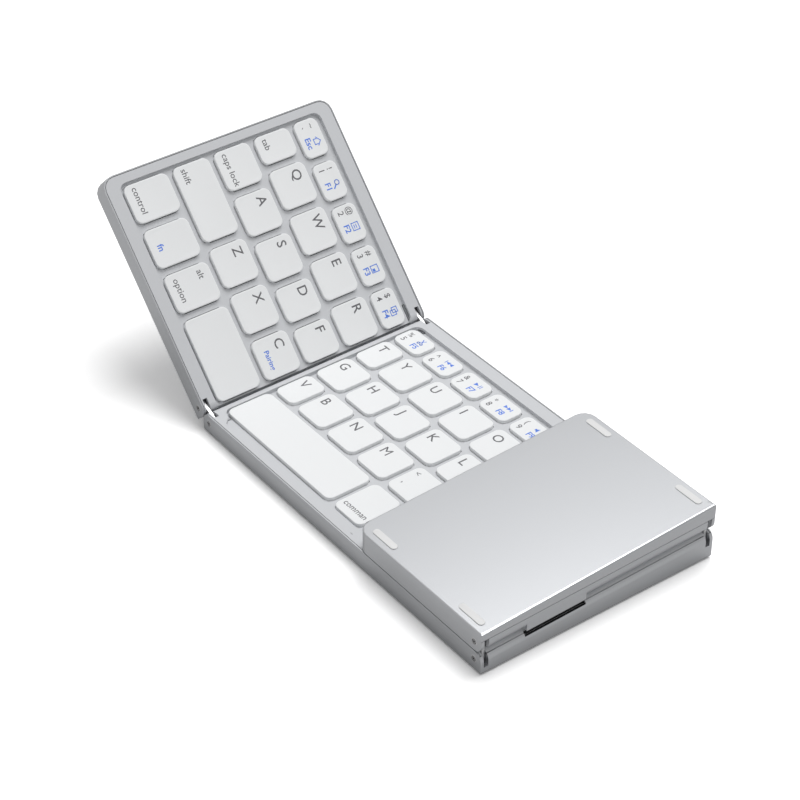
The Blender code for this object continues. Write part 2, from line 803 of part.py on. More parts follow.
def link_profile():
    """A bar with round ends, upright from its lower pivot to its upper one."""
    lower = arc((0.0, 0.0), LINK_END_RADIUS, 180, 360, KNUCKLE_STEPS)
    upper = arc((0.0, LINK_LENGTH), LINK_END_RADIUS, 0, 180, KNUCKLE_STEPS)
    return lower + upper


def make_link(shop, name, middle, outward, parent):
    """A hinge link with its two riveted pins. Outward is -1 at the front and 1 at the rear."""
    mesh = bmesh.new()
    half = LINK_THICKNESS / 2
    add_profile(mesh, link_profile(), middle - half, middle + half)
    link = shop.solid(name, mesh, STEEL, parent)
    outer_end = middle + outward * (LINK_FROM_EDGE - FIT_GAP / 2)
    inner_end = outer_end - outward * PIN_LENGTH
    pins = bmesh.new()
    for height in (0.0, LINK_LENGTH):
        start, end = min(outer_end, inner_end), max(outer_end, inner_end)
        add_pin(pins, (0.0, height), PIN_RADIUS, start, end)
    combine(link, "UNION", shop.cutter(name + "_pins", pins, parent))
    return link


def make_links(shop, side, parent):
    make_link(shop, side + "_front_link", LINK_FROM_EDGE, -1, parent)
    make_link(shop, side + "_rear_link", DEPTH - LINK_FROM_EDGE, 1, parent)


def make_middle_panel(shop, base, frame):
    """The panel that lies on the table."""
    panel = Panel("middle", -MIDDLE_LENGTH, 0.0, True, True)
    window = passage_window_cutter(shop, panel, frame)
    shell = make_shell(shop, panel, frame)
    combine(shell, "DIFFERENCE", window)
    combine(shell, "DIFFERENCE", port_cutter(shop, base))
    well = well_cutter(shop, panel, middle_well_outline(panel), WELL_DEPTH, frame)
    deck = make_deck(shop, panel, well, frame)
    combine(deck, "DIFFERENCE", window)
    start = panel.start + MIDDLE_KEYS_MARGIN
    end = panel.end - MIDDLE_KEYS_MARGIN
    keys = key_layout(MIDDLE_ROWS, start, end, MIDDLE_KEY_GAP)
    combine(deck, "DIFFERENCE", key_opening_cutter(shop, panel, keys, frame))
    covered = [key for key in keys if key[2][0] > -RIGHT_LENGTH]
    travelling = [key for key in keys if key not in covered]
    make_keys(shop, travelling, frame)
    sheet = make_contact_sheet(shop, panel, frame)
    combine(sheet, "UNION", fixed_keys_tool(shop, covered, frame))
    make_battery(shop, base)
    make_circuit_board(shop, base)


def make_left_panel(shop, middle_frame):
    """The keyed panel that stands half open."""
    pivot = (-MIDDLE_LENGTH + KNUCKLE_RADIUS, 0.0, -KNUCKLE_RADIUS)
    swing = shop.frame("left_link_pivot", middle_frame, pivot, turn=-LEFT_OPENING / 2)
    make_links(shop, "left", swing)
    fold = shop.frame(
        "left_panel_pivot", swing, (0.0, 0.0, LINK_LENGTH), turn=math.pi - LEFT_OPENING / 2
    )
    frame = shop.frame("left_deck_frame", fold, (KNUCKLE_RADIUS, 0.0, KNUCKLE_RADIUS))
    panel = Panel("left", -LEFT_LENGTH, 0.0, False, True)
    make_shell(shop, panel, frame)
    well = well_cutter(shop, panel, left_well_outline(panel), WELL_DEPTH, frame)
    deck = make_deck(shop, panel, well, frame)
    start = panel.end - LEFT_KEYS_START
    end = panel.end - LEFT_KEYS_END
    keys = key_layout(LEFT_ROWS, start, end, LEFT_KEY_GAP)
    combine(deck, "DIFFERENCE", key_opening_cutter(shop, panel, keys, frame))
    make_keys(shop, keys, frame)
    make_contact_sheet(shop, panel, frame)


def make_right_panel(shop, middle_frame):
    """The touchpad panel, folded shut over the middle one."""
    pivot = (-KNUCKLE_RADIUS, 0.0, -KNUCKLE_RADIUS)
    swing = shop.frame("right_link_pivot", middle_frame, pivot)
    make_links(shop, "right", swing)
    fold = shop.frame("right_panel_pivot", swing, (0.0, 0.0, LINK_LENGTH), turn=math.pi)
    frame = shop.frame("right_deck_frame", fold, (-KNUCKLE_RADIUS, 0.0, KNUCKLE_RADIUS))
    panel = Panel("right", 0.0, RIGHT_LENGTH, True, False)
    shell = make_shell(shop, panel, frame)
    combine(shell, "UNION", passage_tongue_tool(shop, panel, frame))
    depth = KEY_BELOW_DECK + TOUCHPAD_THICKNESS + FIT_GAP
    well = well_cutter(shop, panel, touchpad_well_outline(panel), depth, frame)
    make_deck(shop, panel, well, frame)
    make_touchpad(shop, panel, frame)


def bounds(pieces):
    """The lowest and highest world coordinates of the finished pieces."""
    graph = bpy.context.evaluated_depsgraph_get()
    points = []
    for piece in pieces:
        evaluated = piece.evaluated_get(graph)
        mesh = evaluated.to_mesh()
        points += [evaluated.matrix_world @ vertex.co for vertex in mesh.vertices]
        evaluated.to_mesh_clear()
    low = [min(point[axis] for point in points) for axis in range(3)]
    high = [max(point[axis] for point in points) for axis in range(3)]
    return low, high


def stand_on_origin(base, pieces):
    """Move the whole keyboard so that the middle of its box stands on the origin."""
    bpy.context.view_layer.update()
    low, high = bounds(pieces)
    base.location = (-(low[0] + high[0]) / 2, -(low[1] + high[1]) / 2, -low[2])


def main():
    clear_scene()
    shop = Workshop()
    base = shop.frame("keyboard", None, (0.0, 0.0, 0.0))
    middle_frame = shop.frame("middle_deck_frame", base, (0.0, 0.0, FRONT_THICKNESS), tilt=WEDGE)
    make_middle_panel(shop, base, middle_frame)
    make_left_panel(shop, middle_frame)
    make_right_panel(shop, middle_frame)
    stand_on_origin(base, [item for item in shop.parts.objects if item.type == "MESH"])


main()
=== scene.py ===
"""Folding keyboard in three panels: its finishes, fine forms and printed legends.

Lengths are in metres and Z is up. Each panel has its own deck frame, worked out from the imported
part's joints: X along the keyboard, Y from the front edge to the rear and Z out of the deck.
"""

import json
import math

import bmesh
import bpy
from mathutils import Matrix, Vector

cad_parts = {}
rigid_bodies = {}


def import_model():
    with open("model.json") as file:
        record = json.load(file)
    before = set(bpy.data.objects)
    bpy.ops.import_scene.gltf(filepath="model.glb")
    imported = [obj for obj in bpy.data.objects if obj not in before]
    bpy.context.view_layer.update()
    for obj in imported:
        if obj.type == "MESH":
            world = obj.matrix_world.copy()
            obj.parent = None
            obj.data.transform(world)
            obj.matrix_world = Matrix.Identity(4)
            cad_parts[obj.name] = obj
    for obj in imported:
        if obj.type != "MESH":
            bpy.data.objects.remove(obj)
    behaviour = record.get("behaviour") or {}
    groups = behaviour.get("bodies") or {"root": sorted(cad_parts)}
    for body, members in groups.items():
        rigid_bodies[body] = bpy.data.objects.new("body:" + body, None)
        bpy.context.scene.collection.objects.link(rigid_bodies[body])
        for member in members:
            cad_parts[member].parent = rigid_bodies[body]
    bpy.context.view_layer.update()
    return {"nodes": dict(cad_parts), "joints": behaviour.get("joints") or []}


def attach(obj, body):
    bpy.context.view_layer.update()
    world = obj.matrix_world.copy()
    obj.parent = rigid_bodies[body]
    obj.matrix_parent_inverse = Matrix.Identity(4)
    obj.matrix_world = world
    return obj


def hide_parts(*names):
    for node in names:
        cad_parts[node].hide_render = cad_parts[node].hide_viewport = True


bl_info = {
    "name": "Folding Keyboard Dressing",
    "version": (1, 0, 0),
    "blender": (4, 5, 0),
    "location": "View3D > Sidebar > Keyboard",
    "description": "Builds the finished surfaces, keys and legends of a folding keyboard",
    "category": "Object",
}

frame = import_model()

MM = 0.001
JOINTS = {joint["name"]: joint for joint in frame["joints"]}

# The hinge pivots lie this far in from a panel's end, and as far below its deck
KNUCKLE_RADIUS = 3.45 * MM

# The rounding of a panel's free corners, and how far the deck's seat lies below its top
FREE_CORNER_RADIUS = 5.0 * MM
SEAT_DEPTH = 1.4 * MM
KNUCKLE_CUTS = 6

# The notch in the middle panel's end that the cable passes
WINDOW_FRONT = 18.0 * MM
WINDOW_REAR = 43.0 * MM
WINDOW_DEPTH = 2.2 * MM
WINDOW_LENGTH = 2.6 * MM

# The seam along the right panel's hinged end, below its deck
END_SEAM_LOW = 5.3 * MM
END_SEAM_WIDTH = 0.2 * MM

# How far flat shapes may miss each other and still count as the same
TOUCH = 0.002 * MM


class DeckFrame:
    """A panel's own axes. A piece is modelled in them and then moved to its place in the world."""

    def __init__(self, pivot, side, across, up):
        deep = up.cross(across)
        turn = Matrix((across, deep, up)).transposed()
        origin = pivot + KNUCKLE_RADIUS * (side * across + up)
        self.to_world = Matrix.Translation(origin) @ turn.to_4x4()
        self.to_local = self.to_world.inverted()

    def box(self, node):
        """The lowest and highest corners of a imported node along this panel's axes."""
        points = [self.to_local @ vertex.co for vertex in frame["nodes"][node].data.vertices]
        low = Vector([min(point[axis] for point in points) for axis in range(3)])
        high = Vector([max(point[axis] for point in points) for axis in range(3)])
        return low, high


def joint_pivot(name):
    return Vector(JOINTS[name]["pos_m"])


def joint_axis(name):
    return Vector(JOINTS[name]["axis"]).normalized()


def panel_frames():
    """The deck frames of the three panels, with the right one as it lies folded."""
    deep = joint_axis("right_link_swing")
    up = -joint_axis("key_g_press")
    raised = -joint_axis("key_a_press")
    return {
        "middle": DeckFrame(joint_pivot("right_link_swing"), 1, deep.cross(up), up),
        "left": DeckFrame(joint_pivot("left_panel_swing"), 1, deep.cross(raised), raised),
        "right": DeckFrame(joint_pivot("right_panel_swing"), -1, -deep.cross(up), -up),
    }


PANELS = panel_frames()
BODY_OF_PANEL = {"middle": "middle_panel", "left": "left_panel", "right": "right_panel"}
FOOT_HEIGHT = 0.3 * MM
WEDGE = math.asin(joint_axis("right_link_swing").z)
FRONT_THICKNESS = (PANELS["middle"].to_world.translation.z - FOOT_HEIGHT) / math.cos(WEDGE)
DEPTH = PANELS["left"].box("left_shell")[1].y

# Keys under the folded panel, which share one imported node, from the front row to the rear
COVERED_ROWS = (
    ("menu", "arrow_left", "arrow_down", "arrow_right"),
    ("period", "slash", "arrow_up", "right_shift"),
    ("semicolon", "quote", "enter"),
    ("p", "left_bracket", "right_bracket", "backslash"),
    ("0", "minus", "equals", "delete"),
)

# Legends: small words near a key's front edge, and upper and lower signs
WORDS = {
    "tab": "tab",
    "caps": "caps lock",
    "left_shift": "shift",
    "right_shift": "shift",
    "control": "control",
    "command": "command",
    "enter": "enter",
    "delete": "delete",
    "menu": "menu",
}
SIGNS = {
    "escape": ("~", "`"),
    "1": ("!", "1"),
    "2": ("@", "2"),
    "3": ("#", "3"),
    "4": ("$", "4"),
    "5": ("%", "5"),
    "6": ("^", "6"),
    "7": ("&", "7"),
    "8": ("*", "8"),
    "9": ("(", "9"),
    "0": (")", "0"),
    "minus": ("_", "-"),
    "equals": ("+", "="),
    "comma": ("<", ","),
    "period": (">", "."),
    "slash": ("?", "/"),
    "semicolon": (":", ";"),
    "quote": ('"', "'"),
    "left_bracket": ("{", "["),
    "right_bracket": ("}", "]"),
    "backslash": ("|", "\\"),
}
SECOND_WORDS = {
    "escape": "Esc",
    "1": "F1",
    "2": "F2",
    "3": "F3",
    "4": "F4",
    "5": "F5",
    "6": "F6",
    "7": "F7",
    "8": "F8",
    "9": "F9",
    "0": "F10",
    "minus": "F11",
    "equals": "F12",
}
ARROWS = {"arrow_left": 180, "arrow_down": 270, "arrow_right": 0, "arrow_up": 90}


class KeyboardSizes(bpy.types.PropertyGroup):
    """The fine sizes that a user would change."""

    housing_edge: bpy.props.FloatProperty(
        name="Housing edge",
        description="Width of the rounded edges of the metal housings",
        default=0.14 * MM,
        unit="LENGTH",
        subtype="DISTANCE",
    )
    deck_edge: bpy.props.FloatProperty(
        name="Deck edge",
        description="Width of the bright chamfer along the deck's edges and its well",
        default=0.14 * MM,
        unit="LENGTH",
        subtype="DISTANCE",
    )
    rim_width: bpy.props.FloatProperty(
        name="Rim width",
        description="Width of the housing's rim around the deck",
        default=0.5 * MM,
        unit="LENGTH",
        subtype="DISTANCE",
    )
    rim_seam: bpy.props.FloatProperty(
        name="Rim seam",
        description="Width of the open seam between the rim and the deck",
        default=0.22 * MM,
        unit="LENGTH",
        subtype="DISTANCE",
    )
    key_edge: bpy.props.FloatProperty(
        name="Key edge",
        description="Radius of the rounding along the top of a key",
        default=0.28 * MM,
        unit="LENGTH",
        subtype="DISTANCE",
    )
    key_corner: bpy.props.FloatProperty(
        name="Key corner",
        description="Radius of a key's corners seen from above",
        default=2.6 * MM,
        unit="LENGTH",
        subtype="DISTANCE",
    )
    key_dish: bpy.props.FloatProperty(
        name="Key dish",
        description="How far the middle of a key lies below its rim",
        default=0.06 * MM,
        unit="LENGTH",
        subtype="DISTANCE",
    )
    foot_gap: bpy.props.FloatProperty(
        name="Foot gap",
        description="Width of the open seam around a rubber foot",
        default=0.14 * MM,
        unit="LENGTH",
        subtype="DISTANCE",
    )
    foot_recess: bpy.props.FloatProperty(
        name="Foot recess",
        description="Depth of the pocket that a rubber foot sits in",
        default=0.3 * MM,
        unit="LENGTH",
        subtype="DISTANCE",
    )
    rivet_radius: bpy.props.FloatProperty(
        name="Rivet radius",
        description="Radius of the rivet heads on the outside of the hinges",
        default=1.4 * MM,
        unit="LENGTH",
        subtype="DISTANCE",
    )
    ink_height: bpy.props.FloatProperty(
        name="Ink height",
        description="How far the printed legends stand above the key",
        default=0.012 * MM,
        unit="LENGTH",
        subtype="DISTANCE",
    )


class KeyboardColours(bpy.types.PropertyGroup):
    """The colours that a user would change."""

    housing: bpy.props.FloatVectorProperty(
        name="Housing",
        description="Silver of the metal housings",
        default=(0.63, 0.64, 0.655),
        subtype="COLOR",
    )
    deck: bpy.props.FloatVectorProperty(
        name="Deck",
        description="Silver of the plate around the keys",
        default=(0.55, 0.56, 0.575),
        subtype="COLOR",
    )
    key: bpy.props.FloatVectorProperty(
        name="Key",
        description="White of the key caps",
        default=(0.7, 0.71, 0.72),
        subtype="COLOR",
    )
    ink: bpy.props.FloatVectorProperty(
        name="Ink",
        description="Grey of the main legends",
        default=(0.13, 0.13, 0.14),
        subtype="COLOR",
    )
    second_ink: bpy.props.FloatVectorProperty(
        name="Second ink",
        description="Blue of the second legends",
        default=(0.09, 0.22, 0.75),
        subtype="COLOR",
    )


def sizes():
    return bpy.context.scene.keyboard_sizes


def colours():
    return bpy.context.scene.keyboard_colours


# Shader groups
def new_group(name, numbers, outputs):
    """An empty shader group with number inputs, given as names with defaults, and outputs."""
    group = bpy.data.node_groups.new(name, "ShaderNodeTree")
    for title, default in numbers:
        socket = group.interface.new_socket(title, in_out="INPUT", socket_type="NodeSocketFloat")
        socket.default_value = default
    for title, kind in outputs:
        group.interface.new_socket(title, in_out="OUTPUT", socket_type=kind)
    entry = group.nodes.new("NodeGroupInput")
    leave = group.nodes.new("NodeGroupOutput")
    return group, entry, leave


def math_node(tree, operation, first, second):
    """A Math node with two operands, each a socket or a plain number."""
    node = tree.nodes.new("ShaderNodeMath")
    node.operation = operation
    for socket, value in zip(node.inputs, (first, second)):
        if isinstance(value, (int, float)):
            socket.default_value = value
        else:
            tree.links.new(value, socket)
    return node.outputs[0]


def object_noise(tree, scale, detail, stretch=None):
    """Noise that stays fixed to the piece, with its scale as a socket or a number per metre."""
    place = tree.nodes.new("ShaderNodeTexCoord").outputs["Object"]
    if stretch:
        mapping = tree.nodes.new("ShaderNodeMapping")
        mapping.inputs["Scale"].default_value = stretch
        tree.links.new(place, mapping.inputs["Vector"])
        place = mapping.outputs["Vector"]
    noise = tree.nodes.new("ShaderNodeTexNoise")
    noise.inputs["Detail"].default_value = detail
    tree.links.new(place, noise.inputs["Vector"])
    if isinstance(scale, (int, float)):
        noise.inputs["Scale"].default_value = scale
    else:
        tree.links.new(scale, noise.inputs["Scale"])
    return noise.outputs["Fac"]


def surface_grain_group():
    """Fine speckle and slow clouding, for a colour factor, a roughness and a height."""
    found = bpy.data.node_groups.get("surface_grain")
    if found:
        return found
    numbers = (
        ("Grain Scale", 3000.0),
        ("Speckle", 0.1),
        ("Cloud", 0.03),
        ("Roughness", 0.4),
        ("Roughness Spread", 0.1),
    )
    outputs = (
        ("Shade", "NodeSocketFloat"),
        ("Roughness", "NodeSocketFloat"),
        ("Height", "NodeSocketFloat"),
    )
    group, entry, leave = new_group("surface_grain", numbers, outputs)
    fine = object_noise(group, entry.outputs["Grain Scale"], 2.0)
    slow = object_noise(group, 25.0, 3.0)
    fine_part = math_node(group, "SUBTRACT", fine, 0.5)
    slow_part = math_node(group, "SUBTRACT", slow, 0.5)
    speckle = math_node(group, "MULTIPLY", fine_part, entry.outputs["Speckle"])
    cloud = math_node(group, "MULTIPLY", slow_part, entry.outputs["Cloud"])
    both = math_node(group, "ADD", speckle, cloud)
    shade = math_node(group, "ADD", both, 1.0)
    spread = math_node(group, "MULTIPLY", fine_part, entry.outputs["Roughness Spread"])
    roughness = math_node(group, "ADD", spread, entry.outputs["Roughness"])
    group.links.new(shade, leave.inputs["Shade"])
    group.links.new(roughness, leave.inputs["Roughness"])
    group.links.new(fine, leave.inputs["Height"])
    return group


# The height of the grain, and the angle from which an edge is sharp and is rounded
GRAIN_DEPTH = 0.02 * MM
EDGE_ANGLE = math.radians(34)


def grained_material(name, colour, grain, metallic, bump):
    """The Principled material of this name with the grain group, built on first use."""
    if name in bpy.data.materials:
        return bpy.data.materials[name]
    material = bpy.data.materials.new(name)
    material.use_nodes = True
    tree = material.node_tree
    shader = tree.nodes["Principled BSDF"]
    shader.inputs["Metallic"].default_value = metallic
    group = tree.nodes.new("ShaderNodeGroup")
    group.node_tree = surface_grain_group()
    for title, value in grain.items():
        group.inputs[title].default_value = value
    tint = tree.nodes.new("ShaderNodeVectorMath")
    tint.operation = "SCALE"
    tint.inputs[0].default_value = tuple(colour)
    tree.links.new(group.outputs["Shade"], tint.inputs["Scale"])
    tree.links.new(tint.outputs["Vector"], shader.inputs["Base Color"])
    tree.links.new(group.outputs["Roughness"], shader.inputs["Roughness"])
    relief = tree.nodes.new("ShaderNodeBump")
    relief.inputs["Strength"].default_value = bump
    relief.inputs["Distance"].default_value = GRAIN_DEPTH
    tree.links.new(group.outputs["Height"], relief.inputs["Height"])
    tree.links.new(relief.outputs["Normal"], shader.inputs["Normal"])
    return material


def grain_values(scale, speckle, cloud, roughness, spread):
    """The inputs of the grain group: grains per metre, its marks, and how rough they are."""
    return {
        "Grain Scale": scale,
        "Speckle": speckle,
        "Cloud": cloud,
        "Roughness": roughness,
        "Roughness Spread": spread,
    }


def silver_housing():
    """Fine blasted and anodised metal, with a sparkle in its grain."""
    grain = grain_values(2600.0, 0.34, 0.05, 0.6, 0.2)
    return grained_material("silver_housing", colours().housing, grain, 0.12, 0.35)


def silver_deck():
    """Satin silver lacquer with a finer grain."""
    grain = grain_values(3600.0, 0.16, 0.04, 0.55, 0.2)
    return grained_material("silver_deck", colours().deck, grain, 0.12, 0.2)


def key_white():
    """Fine matt white moulding."""
    grain = grain_values(5200.0, 0.03, 0.015, 0.46, 0.1)
    return grained_material("key_white", colours().key, grain, 0.0, 0.12)


def foot_rubber():
    """Milky soft rubber."""
    grain = grain_values(2400.0, 0.05, 0.05, 0.5, 0.15)
    return grained_material("foot_rubber", (0.74, 0.74, 0.74), grain, 0.0, 0.2)


def hinge_steel():
    """Bright steel with a fine grain."""
    grain = grain_values(1500.0, 0.2, 0.05, 0.28, 0.2)
    return grained_material("hinge_steel", (0.86, 0.86, 0.87), grain, 0.6, 0.15)


def grey_ink():
    grain = grain_values(4000.0, 0.1, 0.1, 0.5, 0.1)
    return grained_material("grey_ink", colours().ink, grain, 0.0, 0.0)


def blue_ink():
    grain = grain_values(4000.0, 0.1, 0.1, 0.5, 0.1)
    return grained_material("blue_ink", colours().second_ink, grain, 0.0, 0.0)


def painted_shade_black():
    """Matt black as painted shade: in the dark gap of the cable window and in the sunken rings and
    dimples of the rivet heads.
    """
    grain = grain_values(3000.0, 0.2, 0.1, 0.55, 0.1)
    return grained_material("painted_shade_black", (0.012, 0.012, 0.013), grain, 0.0, 0.2)


def contact_film():
    grain = grain_values(900.0, 0.05, 0.05, 0.35, 0.1)
    return grained_material("contact_film", (0.6, 0.61, 0.62), grain, 0.1, 0.05)


def battery_foil():
    grain = grain_values(500.0, 0.15, 0.1, 0.3, 0.2)
    return grained_material("battery_foil", (0.5, 0.51, 0.53), grain, 0.8, 0.5)


def board_green():
    grain = grain_values(700.0, 0.3, 0.2, 0.35, 0.1)
    return grained_material("board_green", (0.03, 0.16, 0.07), grain, 0.0, 0.3)


def touch_surface():
    """Smooth satin touch plate, a little darker than the deck."""
    grain = grain_values(6000.0, 0.04, 0.02, 0.3, 0.06)
    return grained_material("touch_surface", (0.5, 0.51, 0.53), grain, 0.1, 0.06)


def lamp_window():
    """Smoked clear window over the status lamp."""
    grain = grain_values(2000.0, 0.1, 0.1, 0.15, 0.05)
    return grained_material("lamp_window", (0.4, 0.41, 0.42), grain, 0.0, 0.0)


# Mesh helpers
def piece_from(mesh, name, panel, materials, body):
    """Turn a bmesh, modelled in a panel's frame, into a piece that rides on a body."""
    if panel:
        mesh.transform(PANELS[panel].to_world)
    data = bpy.data.meshes.new(name)
    mesh.to_mesh(data)
    mesh.free()
    for material in materials:
        data.materials.append(material)
    data.shade_smooth()
    data.set_sharp_from_angle(angle=EDGE_ANGLE)
    piece = bpy.data.objects.new(name, data)
    bpy.context.scene.collection.objects.link(piece)
    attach(piece, body)
    return piece


def merged_copy(node, panel):
    """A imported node's shape in its panel's frame, with its triangles merged into plain faces."""
    mesh = bmesh.new()
    mesh.from_mesh(frame["nodes"][node].data)
    mesh.transform(PANELS[panel].to_local)
    bmesh.ops.remove_doubles(mesh, verts=mesh.verts[:], dist=TOUCH / 2)
    bmesh.ops.dissolve_limit(
        mesh,
        angle_limit=math.radians(0.6),
        use_dissolve_boundaries=False,
        verts=mesh.verts[:],
        edges=mesh.edges[:],
    )
    return mesh


def soften_edges(piece, width, segments):
    """Round the piece's sharp edges with a live Bevel modifier."""
    modifier = piece.modifiers.new("soft_edges", "BEVEL")
    modifier.width = width
    modifier.segments = segments
    modifier.limit_method = "ANGLE"
    modifier.angle_limit = EDGE_ANGLE
    modifier.profile = 0.5
    modifier.use_clamp_overlap = True
    evened = piece.modifiers.new("even_shading", "WEIGHTED_NORMAL")
    evened.mode = "FACE_AREA"
    evened.weight = 90
    evened.keep_sharp = True


def box_mesh(mesh, low, high):
    """Add a box between two corners and return its new vertices."""
    middle = (Vector(low) + Vector(high)) / 2
    size = Vector(high) - Vector(low)
    place = Matrix.Translation(middle) @ Matrix.Diagonal((*size, 1.0))
    return bmesh.ops.create_cube(mesh, size=1.0, matrix=place)["verts"]


def edges_among(verts, direction):
    """The edges between these vertices that run along a direction."""
    chosen = set()
    inside = set(verts)
    for vert in verts:
        for edge in vert.link_edges:
            if edge.other_vert(vert) in inside:
                run = (edge.verts[1].co - edge.verts[0].co).normalized()
                if abs(run.dot(direction)) > 0.99:
                    chosen.add(edge)
    return list(chosen)


def bevel_edges(mesh, edges, width, segments):
    return bmesh.ops.bevel(
        mesh,
        geom=edges,
        offset=width,
        offset_type="OFFSET",
        segments=segments,
        profile=0.5,
        affect="EDGES",
        clamp_overlap=True,
        material=-1,
    )


def rounded_block(mesh, low, high, corner, edge, segments=6, edge_segments=3, below=False):
    """Add a block with rounded upright corners, and with its top or bottom edge rounded."""
    verts = box_mesh(mesh, low, high)
    island = set(verts)
    upright = edges_among(verts, Vector((0, 0, 1)))
    made = bevel_edges(mesh, upright, corner, segments)
    island |= set(made["verts"])
    level = low[2] if below else high[2]
    rim = {
        edge
        for vert in island
        if vert.is_valid
        for edge in vert.link_edges
        if all(abs(end.co.z - level) < TOUCH for end in edge.verts) and not upright_pair(edge)
    }
    bevel_edges(mesh, list(rim), edge, edge_segments)


def upright_pair(edge):
    """True for an edge inside a flat top, which has the same level on both of its faces."""
    return all(abs(face.normal.z) > 0.9 for face in edge.link_faces)


# Housings and their feet
def cut_off_feet(mesh):
    """Cut the feet off a housing, sink pockets in their place, and return the feet's boxes."""
    outward = Vector((0.0, -math.sin(WEDGE), -math.cos(WEDGE)))
    start = Vector((0.0, 0.0, -FRONT_THICKNESS)) + outward * 0.02 * MM
    geometry = mesh.verts[:] + mesh.edges[:] + mesh.faces[:]
    cut = bmesh.ops.bisect_plane(
        mesh, geom=geometry, dist=TOUCH / 10, plane_co=start, plane_no=outward, clear_outer=True
    )
    loops = [item for item in cut["geom_cut"] if isinstance(item, bmesh.types.BMEdge)]
    filled = bmesh.ops.holes_fill(mesh, edges=loops, sides=0)["faces"]
    feet = []
    for face in filled:
        corners = [vert.co for vert in face.verts]
        low = Vector([min(corner[axis] for corner in corners) for axis in range(3)])
        high = Vector([max(corner[axis] for corner in corners) for axis in range(3)])
        feet.append((low, high))
    for face in filled:
        made = bmesh.ops.extrude_face_region(mesh, geom=[face])
        moved = [item for item in made["geom"] if isinstance(item, bmesh.types.BMVert)]
        bmesh.ops.translate(mesh, vec=-outward * sizes().foot_recess, verts=moved)
    return feet


def foot_mesh(mesh, low, high):
    """Add one stadium-shaped rubber foot that fills its pocket but for an open seam."""
    gap = sizes().foot_gap
    outward = Vector((0.0, -math.sin(WEDGE), -math.cos(WEDGE)))
    length = high.x - low.x - 2 * gap
    width = high.y - low.y - 2 * gap
    top = FOOT_HEIGHT
    bottom = -sizes().foot_recess
    block = bmesh.new()
    rounded_block(
        block,
        (-length / 2, -width / 2, bottom),
        (length / 2, width / 2, top),
        width * 0.499,
        0.12 * MM,
        segments=10,
    )
    # The block's top turns to face out of the underside
    turn = Matrix.Rotation(math.pi, 4, "X")
    tilt = Vector((0.0, 0.0, -1.0)).rotation_difference(outward).to_matrix().to_4x4()
    middle = (low + high) / 2
    middle.z = -FRONT_THICKNESS - middle.y * math.tan(WEDGE)
    block.transform(Matrix.Translation(middle) @ tilt @ turn)
    data = bpy.data.meshes.new("foot")
    block.to_mesh(data)
    block.free()
    mesh.from_mesh(data)
    bpy.data.meshes.remove(data)


def drawn_in(panel, point, inset):
    """The nearest place to a point that lies this far inside the panel's plan."""
    moved = point.copy()
    moved.y = min(max(point.y, inset), DEPTH - inset)
    if panel == "middle":
        return moved
    low, high = PANELS[panel].box(panel + "_shell")
    inward, free_end = (1, low.x) if panel == "left" else (-1, high.x)
    if (moved.x - free_end) * inward < inset:
        moved.x = free_end + inward * inset
    centre_x = free_end + inward * FREE_CORNER_RADIUS
    for centre_y, outward in ((FREE_CORNER_RADIUS, -1), (DEPTH - FREE_CORNER_RADIUS, 1)):
        if (centre_x - point.x) * inward > 0 and (point.y - centre_y) * outward > 0:
            spoke = Vector((point.x - centre_x, point.y - centre_y))
            if spoke.length > FREE_CORNER_RADIUS - inset:
                spoke *= (FREE_CORNER_RADIUS - inset) / spoke.length
                moved.x, moved.y = centre_x + spoke.x, centre_y + spoke.y
    return moved


def hinged_ends(panel):
    """Each hinged end of a panel: where it lies along X, and which way is inward."""
    low, high = PANELS[panel].box(panel + "_shell")
    ends = {"left": ((high.x, -1),), "right": ((low.x, 1),)}
    return ends.get(panel, ((low.x, 1), (high.x, -1)))


def knuckle_level(panel, x):
    """The height of the panel's top at a place along X, which falls over the knuckles."""
    level = 0.0
    for end, inward in hinged_ends(panel):
        past = KNUCKLE_RADIUS - (x - end) * inward
        if past > 0:
            level = math.sqrt(max(KNUCKLE_RADIUS**2 - past**2, 0.0)) - KNUCKLE_RADIUS
    return level


def raise_rim(mesh, panel):
    """Raise the outer part of the housing's wall to the level of the deck."""
    for end, inward in hinged_ends(panel):
        for step in range(KNUCKLE_CUTS):
            angle = math.radians(90 - step * 9)
            x = end + inward * KNUCKLE_RADIUS * (1 - math.cos(angle))
            bmesh.ops.bisect_plane(
                mesh,
                geom=mesh.verts[:] + mesh.edges[:] + mesh.faces[:],
                dist=TOUCH / 10,
                plane_co=(x, 0.0, 0.0),
                plane_no=(1.0, 0.0, 0.0),
            )
    seat = [
        face
        for face in mesh.faces
        if all(abs(vert.co.z + SEAT_DEPTH) < TOUCH for vert in face.verts) and face.normal.z > 0
    ]
    ring_faces = bmesh.ops.inset_region(
        mesh, faces=seat, thickness=sizes().rim_width, use_even_offset=True, use_boundary=True
    )["faces"]
    outer = [
        face
        for face in ring_faces
        if any(
            all((drawn_in(panel, end.co, 2 * TOUCH) - end.co).length > TOUCH for end in edge.verts)
            for edge in face.edges
        )
    ]
    made = bmesh.ops.extrude_face_region(mesh, geom=outer)
    for vert in made["geom"]:
        if isinstance(vert, bmesh.types.BMVert):
            vert.co.z = max(knuckle_level(panel, vert.co.x), -SEAT_DEPTH)
    bmesh.ops.delete(mesh, geom=[face for face in outer if face.is_valid], context="FACES")
    bmesh.ops.remove_doubles(mesh, verts=mesh.verts[:], dist=TOUCH / 2)


def paint_window_shade(mesh):
    """Give the floor and the sides of the cable window the second material, black as painted shade
    for the dark gap there.
    """
    for face in mesh.faces:
        place = face.calc_center_median()
        if (
            place.x > -WINDOW_LENGTH - TOUCH
            and WINDOW_FRONT - TOUCH < place.y < WINDOW_REAR + TOUCH
            and -WINDOW_DEPTH - TOUCH < place.z
            and face.normal.z > -0.1
            and face.normal.x < 0.9
        ):
            face.material_index = 1


